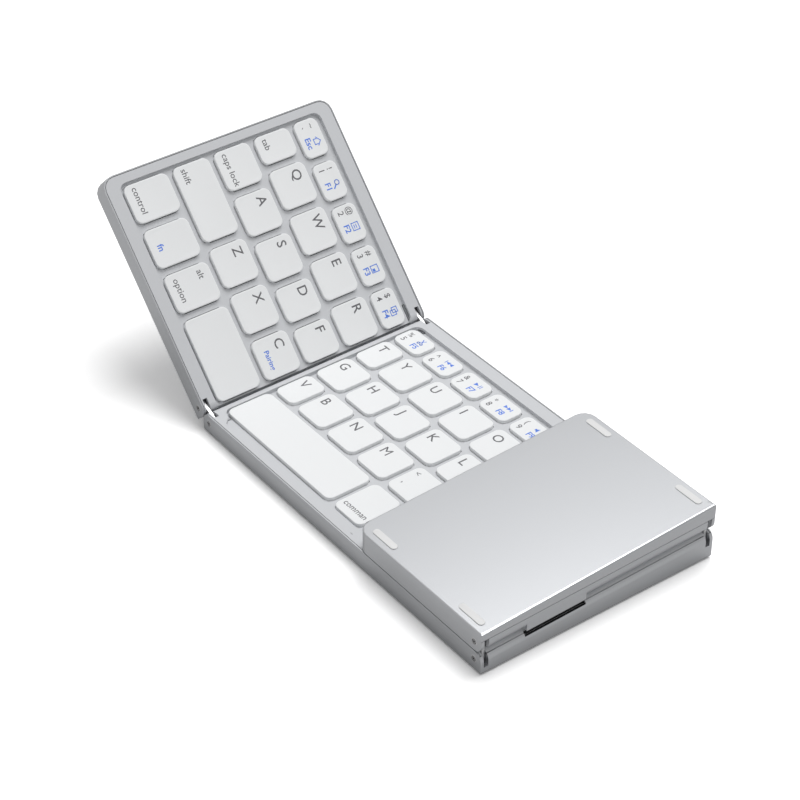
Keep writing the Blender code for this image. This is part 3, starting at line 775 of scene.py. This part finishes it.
def cut_end_seam(mesh):
    """Cut the fine seam along the right panel's hinged end."""
    for height in (END_SEAM_LOW, END_SEAM_LOW + END_SEAM_WIDTH):
        bmesh.ops.bisect_plane(
            mesh,
            geom=mesh.verts[:] + mesh.edges[:] + mesh.faces[:],
            dist=TOUCH / 10,
            plane_co=(0.0, 0.0, -height),
            plane_no=(0.0, 0.0, 1.0),
        )
    end = hinged_ends("right")[0][0]
    middle = -END_SEAM_LOW - END_SEAM_WIDTH / 2
    strip = [
        face
        for face in mesh.faces
        if all(abs(vert.co.x - end) < TOUCH for vert in face.verts)
        and all(abs(vert.co.z - middle) < END_SEAM_WIDTH for vert in face.verts)
    ]
    made = bmesh.ops.extrude_face_region(mesh, geom=strip)
    moved = [item for item in made["geom"] if isinstance(item, bmesh.types.BMVert)]
    bmesh.ops.translate(mesh, vec=(END_SEAM_WIDTH, 0.0, 0.0), verts=moved)
    bmesh.ops.delete(mesh, geom=[face for face in strip if face.is_valid], context="FACES")


def build_housing(panel):
    node = panel + "_shell"
    mesh = merged_copy(node, panel)
    feet = cut_off_feet(mesh)
    raise_rim(mesh, panel)
    if panel == "middle":
        paint_window_shade(mesh)
    if panel == "right":
        cut_end_seam(mesh)
    finishes = [silver_housing(), painted_shade_black()]
    housing = piece_from(mesh, panel + "_housing", panel, finishes, BODY_OF_PANEL[panel])
    soften_edges(housing, sizes().housing_edge, 2)
    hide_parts(node)
    for number, (low, high) in enumerate(feet):
        block = bmesh.new()
        foot_mesh(block, low, high)
        name = panel + "_foot_" + str(number + 1)
        piece_from(block, name, panel, [foot_rubber()], BODY_OF_PANEL[panel])


def build_deck(panel):
    node = panel + "_deck"
    mesh = merged_copy(node, panel)
    for vert in mesh.verts:
        vert.co = drawn_in(panel, vert.co, sizes().rim_width + sizes().rim_seam)
    mesh.normal_update()
    if panel == "middle":
        paint_window_shade(mesh)
    finishes = [silver_deck(), painted_shade_black()]
    deck = piece_from(mesh, panel + "_plate", panel, finishes, BODY_OF_PANEL[panel])
    soften_edges(deck, sizes().deck_edge, 2)
    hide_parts(node)


# Hinges
LINK_EDGE = 0.08 * MM


def build_link(side, end):
    """One hinge link with softened edges."""
    node = side + "_" + end + "_link"
    mesh = merged_copy(node, "middle")
    link = piece_from(mesh, side + "_" + end + "_bar", "middle", [hinge_steel()], side + "_links")
    soften_edges(link, LINK_EDGE, 2)
    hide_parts(node)


# The rings turned into a rivet's head, each as a share of its radius and a change of height
RIVET_RINGS = ((0.22, 0.0), (0.04, -0.16), (0.14, 0.0), (0.04, 0.12), (0.16, 0.0), (0.08, -0.16))


def rivet_mesh(mesh, centre, outward):
    """Add a rivet head: a low disc with a rounded rim and a dimple in its middle."""
    radius = sizes().rivet_radius
    thickness = 0.3 * MM
    head = bmesh.ops.create_cone(
        mesh, cap_ends=True, segments=28, radius1=radius, radius2=radius, depth=thickness
    )
    top = [face for face in mesh.faces if face.normal.z > 0.9]
    bevel_edges(mesh, list(top[0].edges), 0.1 * MM, 2)
    top = max(mesh.faces, key=lambda face: face.calc_center_median().z)
    # Faces below this level, the sunken rings and the dimple, get the second material, black as
    # painted shade
    level = thickness / 2 - 0.05 * MM
    for inset, lift in RIVET_RINGS:
        ring_faces = bmesh.ops.inset_region(mesh, faces=[top], thickness=inset * radius)["faces"]
        bmesh.ops.translate(mesh, vec=(0.0, 0.0, lift * MM), verts=top.verts[:])
        for face in (*ring_faces, top):
            face.material_index = 0 if face.calc_center_median().z > level else 1
    turn = Vector((0.0, 0.0, 1.0)).rotation_difference(Vector((0.0, outward, 0.0)))
    place = Matrix.Translation(centre) @ turn.to_matrix().to_4x4()
    mesh.transform(place)
    return head


def build_rivets(side):
    """The four heads at the ends of the hinge pins on one side of the middle panel."""
    pivots = (joint_pivot(side + "_link_swing"), joint_pivot(side + "_panel_swing"))
    frame_of_middle = PANELS["middle"]
    for number, pivot in enumerate(pivots):
        local = frame_of_middle.to_local @ pivot
        for name, depth, outward in (("front", 0.0, -1), ("rear", DEPTH, 1)):
            mesh = bmesh.new()
            centre = Vector((local.x, depth - outward * 0.1 * MM, local.z))
            rivet_mesh(mesh, centre, outward)
            title = side + "_" + name + "_rivet_" + str(number + 1)
            finishes = [hinge_steel(), painted_shade_black()]
            piece_from(mesh, title, "middle", finishes, side + "_links")


# Keys
def covered_key_boxes():
    """The keys under the folded panel, read from the caps of the node that carries them."""
    frame_of_middle = PANELS["middle"]
    mesh = bmesh.new()
    mesh.from_mesh(frame["nodes"]["middle_contact_sheet"].data)
    mesh.transform(frame_of_middle.to_local)
    bmesh.ops.remove_doubles(mesh, verts=mesh.verts[:], dist=TOUCH / 2)
    level = frame_of_middle.box("key_g")[0].z - TOUCH
    waiting = {face for face in mesh.faces if all(vert.co.z > level for vert in face.verts)}
    boxes = []
    while waiting:
        island = [waiting.pop()]
        for face in island:
            near = {other for edge in face.edges for other in edge.link_faces} & waiting
            island.extend(near)
            waiting -= near
        points = [vert.co for face in island for vert in face.verts]
        low = Vector((min(p.x for p in points), min(p.y for p in points)))
        high = Vector((max(p.x for p in points), max(p.y for p in points)))
        boxes.append((low, high))
    mesh.free()
    return boxes


def covered_keys():
    """The name and the box of each key under the folded panel."""
    boxes = sorted(covered_key_boxes(), key=lambda box: (round(box[0].y / MM), box[0].x))
    names = [name for row in COVERED_ROWS for name in row]
    if len(boxes) != len(names):
        raise RuntimeError("the packed part has another number of covered keys")
    return dict(zip(names, boxes))


def all_keys():
    """Every key: its name, panel, body, low corner and high corner in the panel's frame."""
    keys = []
    for node in frame["nodes"]:
        if node.startswith("key_"):
            joint = JOINTS[node + "_press"]
            panel = "left" if joint["parent"] == "left_panel" else "middle"
            low, high = PANELS[panel].box(node)
            keys.append((node[len("key_"):], panel, node, low, high))
    level = PANELS["middle"].box("key_g")
    for name, (low, high) in covered_keys().items():
        corner = Vector((low.x, low.y, level[0].z))
        opposite = Vector((high.x, high.y, level[1].z))
        keys.append((name, "middle", "middle_panel", corner, opposite))
    return keys


def key_cap_mesh(low, high):
    """A key cap: rounded corners, a rolled top edge and a shallow dish."""
    mesh = bmesh.new()
    rounded_block(mesh, low, high, sizes().key_corner, sizes().key_edge, 7, 4)
    top = max(
        mesh.faces,
        key=lambda face: (round(face.calc_center_median().z, 7), face.calc_area()),
    )
    bmesh.ops.inset_region(mesh, faces=[top], thickness=0.35 * MM)
    bmesh.ops.inset_region(mesh, faces=[top], thickness=0.7 * MM)
    bmesh.ops.translate(mesh, vec=(0.0, 0.0, -sizes().key_dish), verts=top.verts[:])
    return mesh


def build_key(name, panel, body, low, high):
    mesh = key_cap_mesh(low, high)
    cap = piece_from(mesh, "cap_" + name, panel, [key_white()], body)
    if body != "middle_panel":
        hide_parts(body)


# Legends
LETTER_HEIGHT = 3.8 * MM
LETTER_MARGIN = 2.2 * MM
LETTER_BASE = 8.8 * MM
WORD_HEIGHT = 2.38 * MM
WORD_MARGIN = 1.5 * MM
WORD_BASE = 3.1 * MM
SIGN_HEIGHT = 2.45 * MM
SIGN_COLUMN = 2.8 * MM
SIGN_LOW = 3.3 * MM
SIGN_HIGH = 6.8 * MM
TALL_SIGN_LOW = 4.7 * MM
TALL_SIGN_HIGH = 11.9 * MM
SECOND_COLUMN = 9.0 * MM
SECOND_HEIGHT = 2.35 * MM
ICON_SIZE = 3.3 * MM
STROKE = 0.34 * MM
INK_DEPTH = 0.05 * MM
GREY, BLUE = 0, 1


def text_mesh(text, bold=False):
    """A word as a flat mesh, one metre to the letter size, with its baseline at zero."""
    curve = bpy.data.curves.new("word", "FONT")
    curve.body = text
    curve.size = 1.0
    curve.resolution_u = 3
    if text != "M":
        curve.offset = 0.018 if bold else 0.006
    item = bpy.data.objects.new("word", curve)
    bpy.context.scene.collection.objects.link(item)
    graph = bpy.context.evaluated_depsgraph_get()
    data = bpy.data.meshes.new_from_object(item.evaluated_get(graph))
    bpy.data.objects.remove(item)
    bpy.data.curves.remove(curve)
    return data


def mesh_span(data):
    xs = [vertex.co.x for vertex in data.vertices]
    ys = [vertex.co.y for vertex in data.vertices]
    return min(xs), max(xs), min(ys), max(ys)


class LegendSheet:
    """Collects the printed marks of one key, in the frame of its panel."""

    def __init__(self, low, high):
        self.mesh = bmesh.new()
        self.low = low
        self.high = high
        self.surface = high.z - sizes().key_dish

    def add(self, data, scale, shift, ink):
        """Place a flat mesh on the key and give it a thickness that sinks into the key."""
        first = len(self.mesh.verts)
        first_face = len(self.mesh.faces)
        self.mesh.from_mesh(data)
        bpy.data.meshes.remove(data)
        self.mesh.verts.ensure_lookup_table()
        self.mesh.faces.ensure_lookup_table()
        fresh = self.mesh.verts[first:]
        bmesh.ops.remove_doubles(self.mesh, verts=fresh, dist=TOUCH)
        self.mesh.verts.ensure_lookup_table()
        self.mesh.faces.ensure_lookup_table()
        fresh = self.mesh.verts[first:]
        faces = self.mesh.faces[first_face:]
        top = self.surface + sizes().ink_height
        for vert in fresh:
            vert.co = Vector((vert.co.x * scale + shift[0], vert.co.y * scale + shift[1], top))
        made = bmesh.ops.extrude_face_region(self.mesh, geom=faces)
        lower = [item for item in made["geom"] if isinstance(item, bmesh.types.BMVert)]
        bmesh.ops.translate(self.mesh, vec=(0.0, 0.0, -INK_DEPTH), verts=lower)
        self.mesh.faces.ensure_lookup_table()
        for face in self.mesh.faces[first_face:]:
            face.material_index = ink

    def write(self, text, height, x, y, align, ink, centred=False, bold=False):
        """Print a word whose letters are this high, from x and y on the key's plan."""
        data = text_mesh(text, bold)
        scale = height / cap_height()
        left, right, bottom, top = mesh_span(data)
        starts = {"LEFT": left, "CENTRE": (left + right) / 2, "RIGHT": right}
        base = (bottom + top) / 2 if centred else 0.0
        shift = (x - starts[align] * scale, y - base * scale)
        self.add(data, scale, shift, ink)

    def fill(self, outline, ink):
        """Print a filled shape, given by its corners in key coordinates."""
        shape = bmesh.new()
        shape.faces.new([shape.verts.new((x, y, 0.0)) for x, y in outline])
        data = bpy.data.meshes.new("mark")
        shape.to_mesh(data)
        shape.free()
        self.add(data, 1.0, (0.0, 0.0), ink)

    def line(self, points, ink, closed=False, width=STROKE):
        """Print a line of even width through points in key coordinates."""
        count = len(points)
        last = count if closed else count - 1
        pairs = [(points[i], points[(i + 1) % count]) for i in range(last)]
        for start, end in pairs:
            run = Vector(end) - Vector(start)
            along = run.normalized() * width / 2
            side = Vector((-along.y, along.x))
            first = Vector(start) - along * 0.7
            last = Vector(end) + along * 0.7
            self.fill([first - side, last - side, last + side, first + side], ink)

    def finish(self, name, panel, body):
        if not self.mesh.faces:
            self.mesh.free()
            return
        bmesh.ops.recalc_face_normals(self.mesh, faces=self.mesh.faces[:])
        piece_from(self.mesh, "print_" + name, panel, [grey_ink(), blue_ink()], body)


CAP_HEIGHTS = {}


def cap_height():
    """How high the font's capital letters are at a letter size of one."""
    if "H" not in CAP_HEIGHTS:
        data = text_mesh("H")
        bottom, top = mesh_span(data)[2:]
        bpy.data.meshes.remove(data)
        CAP_HEIGHTS["H"] = top - bottom
    return CAP_HEIGHTS["H"]


def ring(centre, radius, start=0, end=360, steps=14):
    """Points on a circle around a centre, between two angles in degrees."""
    points = []
    for step in range(steps + 1):
        angle = math.radians(start + (end - start) * step / steps)
        points.append((centre[0] + radius * math.cos(angle), centre[1] + radius * math.sin(angle)))
    return points


def icon_home(sheet, x, y, size):
    half = size / 2
    walls = half * 0.62
    sheet.line([(x - half, y), (x, y + half * 0.9), (x + half, y)], BLUE)
    sheet.line(
        [(x - walls, y + half * 0.1), (x - walls, y - half * 0.75)]
        + [(x + walls, y - half * 0.75), (x + walls, y + half * 0.1)],
        BLUE,
    )


def icon_search(sheet, x, y, size):
    radius = size * 0.28
    centre = (x - size * 0.14, y + size * 0.14)
    sheet.line(ring(centre, radius)[:-1], BLUE, closed=True)
    start = (centre[0] + radius * 0.8, centre[1] - radius * 0.8)
    sheet.line([start, (x + size * 0.46, y - size * 0.46)], BLUE, width=STROKE * 1.4)


def box_outline(x, y, width, height):
    return [
        (x - width / 2, y - height / 2),
        (x + width / 2, y - height / 2),
        (x + width / 2, y + height / 2),
        (x - width / 2, y + height / 2),
    ]


def icon_screen(sheet, x, y, size):
    sheet.line(box_outline(x, y, size * 0.86, size * 0.86), BLUE, closed=True)
    sheet.line([(x - size * 0.2, y + size * 0.1), (x + size * 0.2, y + size * 0.1)], BLUE)
    sheet.line([(x - size * 0.2, y - size * 0.16), (x + size * 0.2, y - size * 0.16)], BLUE)


def icon_select(sheet, x, y, size):
    sheet.line(box_outline(x, y, size * 0.8, size * 0.9), BLUE, closed=True)
    sheet.fill(box_outline(x + size * 0.14, y - size * 0.16, size * 0.34, size * 0.34), BLUE)


def icon_copy(sheet, x, y, size):
    offset = size * 0.14
    sheet.line(box_outline(x - offset, y + offset, size * 0.6, size * 0.66), BLUE, closed=True)
    sheet.line(box_outline(x + offset, y - offset, size * 0.6, size * 0.66), BLUE, closed=True)


def icon_cut(sheet, x, y, size):
    sheet.line([(x - size * 0.2, y - size * 0.15), (x + size * 0.22, y + size * 0.48)], BLUE)
    sheet.line([(x + size * 0.2, y - size * 0.15), (x - size * 0.22, y + size * 0.48)], BLUE)
    for side in (-1, 1):
        wheel = ring((x + side * size * 0.24, y - size * 0.3), size * 0.15, steps=8)[:-1]
        sheet.line(wheel, BLUE, True)


def triangle(x, y, size, way):
    half = size / 2
    return [(x - way * half, y + half), (x + way * half, y), (x - way * half, y - half)]


def icon_skip(sheet, x, y, size, way):
    small = size * 0.52
    sheet.fill(triangle(x - small * 0.5, y, small, way), BLUE)
    sheet.fill(triangle(x + small * 0.5, y, small, way), BLUE)
    bar = x + way * small * 1.12
    sheet.fill(box_outline(bar, y, STROKE, small), BLUE)


def icon_play(sheet, x, y, size):
    small = size * 0.56
    sheet.fill(triangle(x - size * 0.26, y, small, 1), BLUE)
    for bar in (0.2, 0.44):
        sheet.fill(box_outline(x + size * bar, y, STROKE * 0.9, small), BLUE)


def icon_speaker(sheet, x, y, size, waves):
    sheet.fill(box_outline(x - size * 0.36, y, size * 0.2, size * 0.28), BLUE)
    cone = [
        (x - size * 0.28, y - size * 0.14),
        (x - size * 0.02, y - size * 0.36),
        (x - size * 0.02, y + size * 0.36),
        (x - size * 0.28, y + size * 0.14),
    ]
    sheet.fill(cone, BLUE)
    for wave in range(waves):
        radius = size * (0.18 + 0.16 * wave)
        sheet.line(ring((x, y), radius, -50, 50, 6), BLUE, width=STROKE * 0.8)


def icon_lock(sheet, x, y, size):
    sheet.fill(box_outline(x, y - size * 0.18, size * 0.62, size * 0.46), BLUE)
    sheet.line(ring((x, y + size * 0.08), size * 0.2, 0, 180, 8), BLUE)


ICONS = {
    "escape": icon_home,
    "1": icon_search,
    "2": icon_screen,
    "3": icon_select,
    "4": icon_copy,
    "5": icon_cut,
    "6": lambda sheet, x, y, size: icon_skip(sheet, x, y, size, -1),
    "7": icon_play,
    "8": lambda sheet, x, y, size: icon_skip(sheet, x, y, size, 1),
    "9": lambda sheet, x, y, size: icon_speaker(sheet, x, y, size, 0),
    "0": lambda sheet, x, y, size: icon_speaker(sheet, x, y, size, 1),
    "minus": lambda sheet, x, y, size: icon_speaker(sheet, x, y, size, 2),
    "equals": icon_lock,
}


def print_arrow(sheet, angle):
    """A small solid triangle in the middle of an arrow key."""
    middle = (sheet.low + sheet.high) / 2
    corners = ring((0.0, 0.0), 1.15 * MM, angle, angle + 360, 3)[:-1]
    sheet.fill([(middle.x + x, middle.y + y) for x, y in corners], GREY)


def print_signs(sheet, name):
    """The upper and lower sign, which stand further apart on the deeper keys."""
    upper, lower = SIGNS[name]
    shallow = sheet.high.y - sheet.low.y < 12 * MM
    x = sheet.low.x + SIGN_COLUMN
    low = sheet.low.y + (SIGN_LOW if shallow else TALL_SIGN_LOW)
    high = sheet.low.y + (SIGN_HIGH if shallow else TALL_SIGN_HIGH)
    sheet.write(lower, SIGN_HEIGHT, x, low, "CENTRE", GREY, centred=True)
    sheet.write(upper, SIGN_HEIGHT * 0.95, x, high, "CENTRE", GREY, centred=True)
    if name in SECOND_WORDS:
        column = sheet.low.x + SECOND_COLUMN
        sheet.write(
            SECOND_WORDS[name], SECOND_HEIGHT, column, low, "CENTRE", BLUE, centred=True, bold=True
        )
        ICONS[name](sheet, column, high, ICON_SIZE)


def print_words(sheet, name):
    """A small word at the key's front left corner."""
    x = sheet.low.x + WORD_MARGIN
    y = sheet.low.y + WORD_BASE
    sheet.write(WORDS[name], WORD_HEIGHT, x, y, "LEFT", GREY)


def print_alt(sheet):
    x = sheet.low.x + 2.2 * MM
    sheet.write("alt", WORD_HEIGHT, x, sheet.low.y + 12.9 * MM, "LEFT", GREY)
    sheet.write("option", WORD_HEIGHT, x, sheet.low.y + WORD_BASE, "LEFT", GREY)


def print_function(sheet):
    middle = (sheet.low.x + sheet.high.x) / 2
    y = sheet.low.y + WORD_BASE
    sheet.write("fn", WORD_HEIGHT, middle, y, "CENTRE", BLUE, bold=True)


def print_letter(sheet, name):
    x = sheet.low.x + LETTER_MARGIN
    y = sheet.low.y + LETTER_BASE
    sheet.write(name.upper(), LETTER_HEIGHT, x, y, "LEFT", GREY)
    if name == "c":
        right = sheet.high.x - 3.1 * MM
        base = sheet.low.y + 3.6 * MM
        sheet.write("Pairing", 1.9 * MM, right, base, "RIGHT", BLUE, bold=True)


def build_legend(name, panel, body, low, high):
    """Print what one key carries. A space bar stays bare."""
    sheet = LegendSheet(low, high)
    if name in SIGNS:
        print_signs(sheet, name)
    elif name in WORDS:
        print_words(sheet, name)
    elif name in ARROWS:
        print_arrow(sheet, ARROWS[name])
    elif name == "alt":
        print_alt(sheet)
    elif name == "fn":
        print_function(sheet)
    elif len(name) == 1:
        print_letter(sheet, name)
    sheet.finish(name, panel, body)


# Inner pieces, passage and lamp
def build_contact_sheets():
    """The switch sheets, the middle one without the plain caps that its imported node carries."""
    low, high = PANELS["middle"].box("middle_contact_sheet")
    left_low, left_high = PANELS["left"].box("left_contact_sheet")
    mesh = bmesh.new()
    inset = 8.0 * MM
    box_low = (low.x + inset, low.y, left_low.z)
    box_high = (high.x - inset, high.y, left_high.z)
    rounded_block(mesh, box_low, box_high, 1.0 * MM, 0.1 * MM, 3, 1)
    film = piece_from(mesh, "middle_film", "middle", [contact_film()], "middle_panel")
    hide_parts("middle_contact_sheet")
    assign_material("left_contact_sheet", contact_film())


def assign_material(node, material):
    """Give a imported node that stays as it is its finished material."""
    data = frame["nodes"][node].data
    data.materials.clear()
    data.materials.append(material)


def build_touchpad():
    mesh = merged_copy("touchpad", "right")
    plate = piece_from(mesh, "touch_plate", "right", [touch_surface()], "right_panel")
    soften_edges(plate, 0.15 * MM, 2)
    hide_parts("touchpad")


def build_status_lamp():
    """A small smoked window flush in the front rim, between the middle keys."""
    centre = Vector((-70.7 * MM, 2.6 * MM, 0.0))
    half = Vector((0.6 * MM, 0.2 * MM, 0.0))
    mesh = bmesh.new()
    low = (centre.x - half.x, centre.y - half.y, -0.4 * MM)
    high = (centre.x + half.x, centre.y + half.y, 0.03 * MM)
    rounded_block(mesh, low, high, 0.15 * MM, 0.02 * MM, 4, 1)
    piece_from(mesh, "status_lamp", "middle", [lamp_window()], "middle_panel")


# Stage
SKY_LIGHT = 0.46
FLOOR_SIZE = 6.0
FLOOR_SEEN = 1.35
FLOOR_BOUNCE = 0.55
FLOOR_GLOW = 0.02
CAMERA_PLACE = (0.49363, -0.384216, 0.47545)
CAMERA_AZIMUTH = 51.743
CAMERA_ELEVATION = 36.105
CAMERA_ROLL = 1.738
CAMERA_LENS = 100.58


def camera_rotation():
    """The camera's axes from its azimuth, elevation and roll, all in degrees."""
    azimuth = math.radians(CAMERA_AZIMUTH)
    elevation = math.radians(CAMERA_ELEVATION)
    back = Vector(
        (
            math.sin(azimuth) * math.cos(elevation),
            -math.cos(azimuth) * math.cos(elevation),
            math.sin(elevation),
        )
    )
    right = Vector((math.cos(azimuth), math.sin(azimuth), 0.0))
    up = back.cross(right)
    level = Matrix((right, up, back)).transposed()
    return level @ Matrix.Rotation(math.radians(CAMERA_ROLL), 3, "Z")


def build_camera():
    data = bpy.data.cameras.new("camera")
    data.lens = CAMERA_LENS
    data.sensor_width = 36.0
    data.clip_start = 0.01
    data.clip_end = 50.0
    camera = bpy.data.objects.new("camera", data)
    camera.matrix_world = Matrix.Translation(CAMERA_PLACE) @ camera_rotation().to_4x4()
    bpy.context.scene.collection.objects.link(camera)
    bpy.context.scene.camera = camera


# The lamp above the keyboard: where it hangs, its side and its power in watts
LAMP_PLACE = (-0.12, 0.36, 1.35)
LAMP_SIDE = 1.0
LAMP_POWER = 13.0


def build_area_light(name, place, target, size, power):
    data = bpy.data.lights.new(name, "AREA")
    data.shape = "DISK"
    data.size = size
    data.energy = power
    lamp = bpy.data.objects.new(name, data)
    lamp.location = place
    aim = Vector(target) - Vector(place)
    lamp.rotation_euler = aim.to_track_quat("-Z", "Y").to_euler()
    bpy.context.scene.collection.objects.link(lamp)


def build_world():
    """White where the camera sees it, and a softer grey as a light."""
    world = bpy.data.worlds.new("studio")
    world.use_nodes = True
    bpy.context.scene.world = world
    tree = world.node_tree
    background = tree.nodes["Background"]
    background.inputs["Color"].default_value = (1.0, 1.0, 1.0, 1.0)
    path = tree.nodes.new("ShaderNodeLightPath")
    light = math_node(tree, "MULTIPLY", path.outputs["Is Camera Ray"], 1.0 - SKY_LIGHT)
    strength = math_node(tree, "ADD", light, SKY_LIGHT)
    tree.links.new(strength, background.inputs["Strength"])


def floor_material():
    """Pale floor that is lifted to white for the camera and keeps the keyboard's shadow."""
    material = bpy.data.materials.new("pale_floor")
    material.use_nodes = True
    tree = material.node_tree
    tree.nodes.clear()
    diffuse = tree.nodes.new("ShaderNodeBsdfDiffuse")
    glow = tree.nodes.new("ShaderNodeEmission")
    path = tree.nodes.new("ShaderNodeLightPath")
    seen = path.outputs["Is Camera Ray"]
    more = math_node(tree, "MULTIPLY", seen, FLOOR_SEEN - FLOOR_BOUNCE)
    tree.links.new(math_node(tree, "ADD", more, FLOOR_BOUNCE), diffuse.inputs["Color"])
    lift = math_node(tree, "MULTIPLY", seen, FLOOR_GLOW)
    tree.links.new(lift, glow.inputs["Strength"])
    both = tree.nodes.new("ShaderNodeAddShader")
    tree.links.new(diffuse.outputs[0], both.inputs[0])
    tree.links.new(glow.outputs[0], both.inputs[1])
    output = tree.nodes.new("ShaderNodeOutputMaterial")
    tree.links.new(both.outputs[0], output.inputs["Surface"])
    return material


def build_floor():
    mesh = bmesh.new()
    bmesh.ops.create_grid(mesh, x_segments=1, y_segments=1, size=FLOOR_SIZE / 2)
    data = bpy.data.meshes.new("floor")
    mesh.to_mesh(data)
    mesh.free()
    data.materials.append(floor_material())
    floor = bpy.data.objects.new("floor", data)
    bpy.context.scene.collection.objects.link(floor)


class KEYBOARD_OT_housings(bpy.types.Operator):
    """Build the metal housings and their rubber feet"""

    bl_idname = "keyboard.housings"
    bl_label = "Housings"

    def execute(self, context):
        for panel in PANELS:
            build_housing(panel)
        return {"FINISHED"}


class KEYBOARD_OT_decks(bpy.types.Operator):
    """Build the silver plates around the keys"""

    bl_idname = "keyboard.decks"
    bl_label = "Decks"

    def execute(self, context):
        for panel in PANELS:
            build_deck(panel)
        return {"FINISHED"}


class KEYBOARD_OT_hinges(bpy.types.Operator):
    """Build the hinge links and their rivet heads"""

    bl_idname = "keyboard.hinges"
    bl_label = "Hinges"

    def execute(self, context):
        for side in ("left", "right"):
            for end in ("front", "rear"):
                build_link(side, end)
            build_rivets(side)
        return {"FINISHED"}


class KEYBOARD_OT_keys(bpy.types.Operator):
    """Build every key cap"""

    bl_idname = "keyboard.keys"
    bl_label = "Keys"

    def execute(self, context):
        for key in all_keys():
            build_key(*key)
        return {"FINISHED"}


class KEYBOARD_OT_legends(bpy.types.Operator):
    """Print the legends on the keys"""

    bl_idname = "keyboard.legends"
    bl_label = "Legends"

    def execute(self, context):
        for key in all_keys():
            build_legend(*key)
        return {"FINISHED"}


class KEYBOARD_OT_inner_parts(bpy.types.Operator):
    """Build the switch sheets, and finish the battery and the circuit board"""

    bl_idname = "keyboard.inner_parts"
    bl_label = "Inner parts"

    def execute(self, context):
        build_contact_sheets()
        assign_material("battery", battery_foil())
        assign_material("circuit_board", board_green())
        return {"FINISHED"}


class KEYBOARD_OT_touchpad(bpy.types.Operator):
    """Build the touch plate of the right panel"""

    bl_idname = "keyboard.touchpad"
    bl_label = "Touchpad"

    def execute(self, context):
        build_touchpad()
        return {"FINISHED"}


class KEYBOARD_OT_status_lamp(bpy.types.Operator):
    """Build the window of the status lamp"""

    bl_idname = "keyboard.status_lamp"
    bl_label = "Status lamp"

    def execute(self, context):
        build_status_lamp()
        return {"FINISHED"}


class KEYBOARD_OT_stage(bpy.types.Operator):
    """Set up the floor, the lights and the camera"""

    bl_idname = "keyboard.stage"
    bl_label = "Stage"

    def execute(self, context):
        bpy.context.scene.view_settings.view_transform = "Standard"
        build_camera()
        build_world()
        build_floor()
        keyboard_centre = (0.0, 0.0, 0.0)
        build_area_light("overhead_light", LAMP_PLACE, keyboard_centre, LAMP_SIDE, LAMP_POWER)
        return {"FINISHED"}


OPERATORS = (
    KEYBOARD_OT_housings,
    KEYBOARD_OT_decks,
    KEYBOARD_OT_hinges,
    KEYBOARD_OT_keys,
    KEYBOARD_OT_legends,
    KEYBOARD_OT_inner_parts,
    KEYBOARD_OT_touchpad,
    KEYBOARD_OT_status_lamp,
    KEYBOARD_OT_stage,
)


class KEYBOARD_PT_panel(bpy.types.Panel):
    """Lists the sizes, the colours and the building steps"""

    bl_idname = "KEYBOARD_PT_panel"
    bl_label = "Folding Keyboard"
    bl_space_type = "VIEW_3D"
    bl_region_type = "UI"
    bl_category = "Keyboard"

    def draw(self, context):
        for group in (context.scene.keyboard_sizes, context.scene.keyboard_colours):
            for name in group.__annotations__:
                self.layout.prop(group, name)
        for operator in OPERATORS:
            self.layout.operator(operator.bl_idname)


CLASSES = (KeyboardSizes, KeyboardColours, *OPERATORS, KEYBOARD_PT_panel)


def register():
    for item in CLASSES:
        bpy.utils.register_class(item)
    bpy.types.Scene.keyboard_sizes = bpy.props.PointerProperty(type=KeyboardSizes)
    bpy.types.Scene.keyboard_colours = bpy.props.PointerProperty(type=KeyboardColours)


def unregister():
    del bpy.types.Scene.keyboard_sizes
    del bpy.types.Scene.keyboard_colours
    for item in reversed(CLASSES):
        bpy.utils.unregister_class(item)


def main():
    register()
    for operator in OPERATORS:
        group, name = operator.bl_idname.split(".")
        getattr(getattr(bpy.ops, group), name)()


if __name__ == "__main__":
    main()
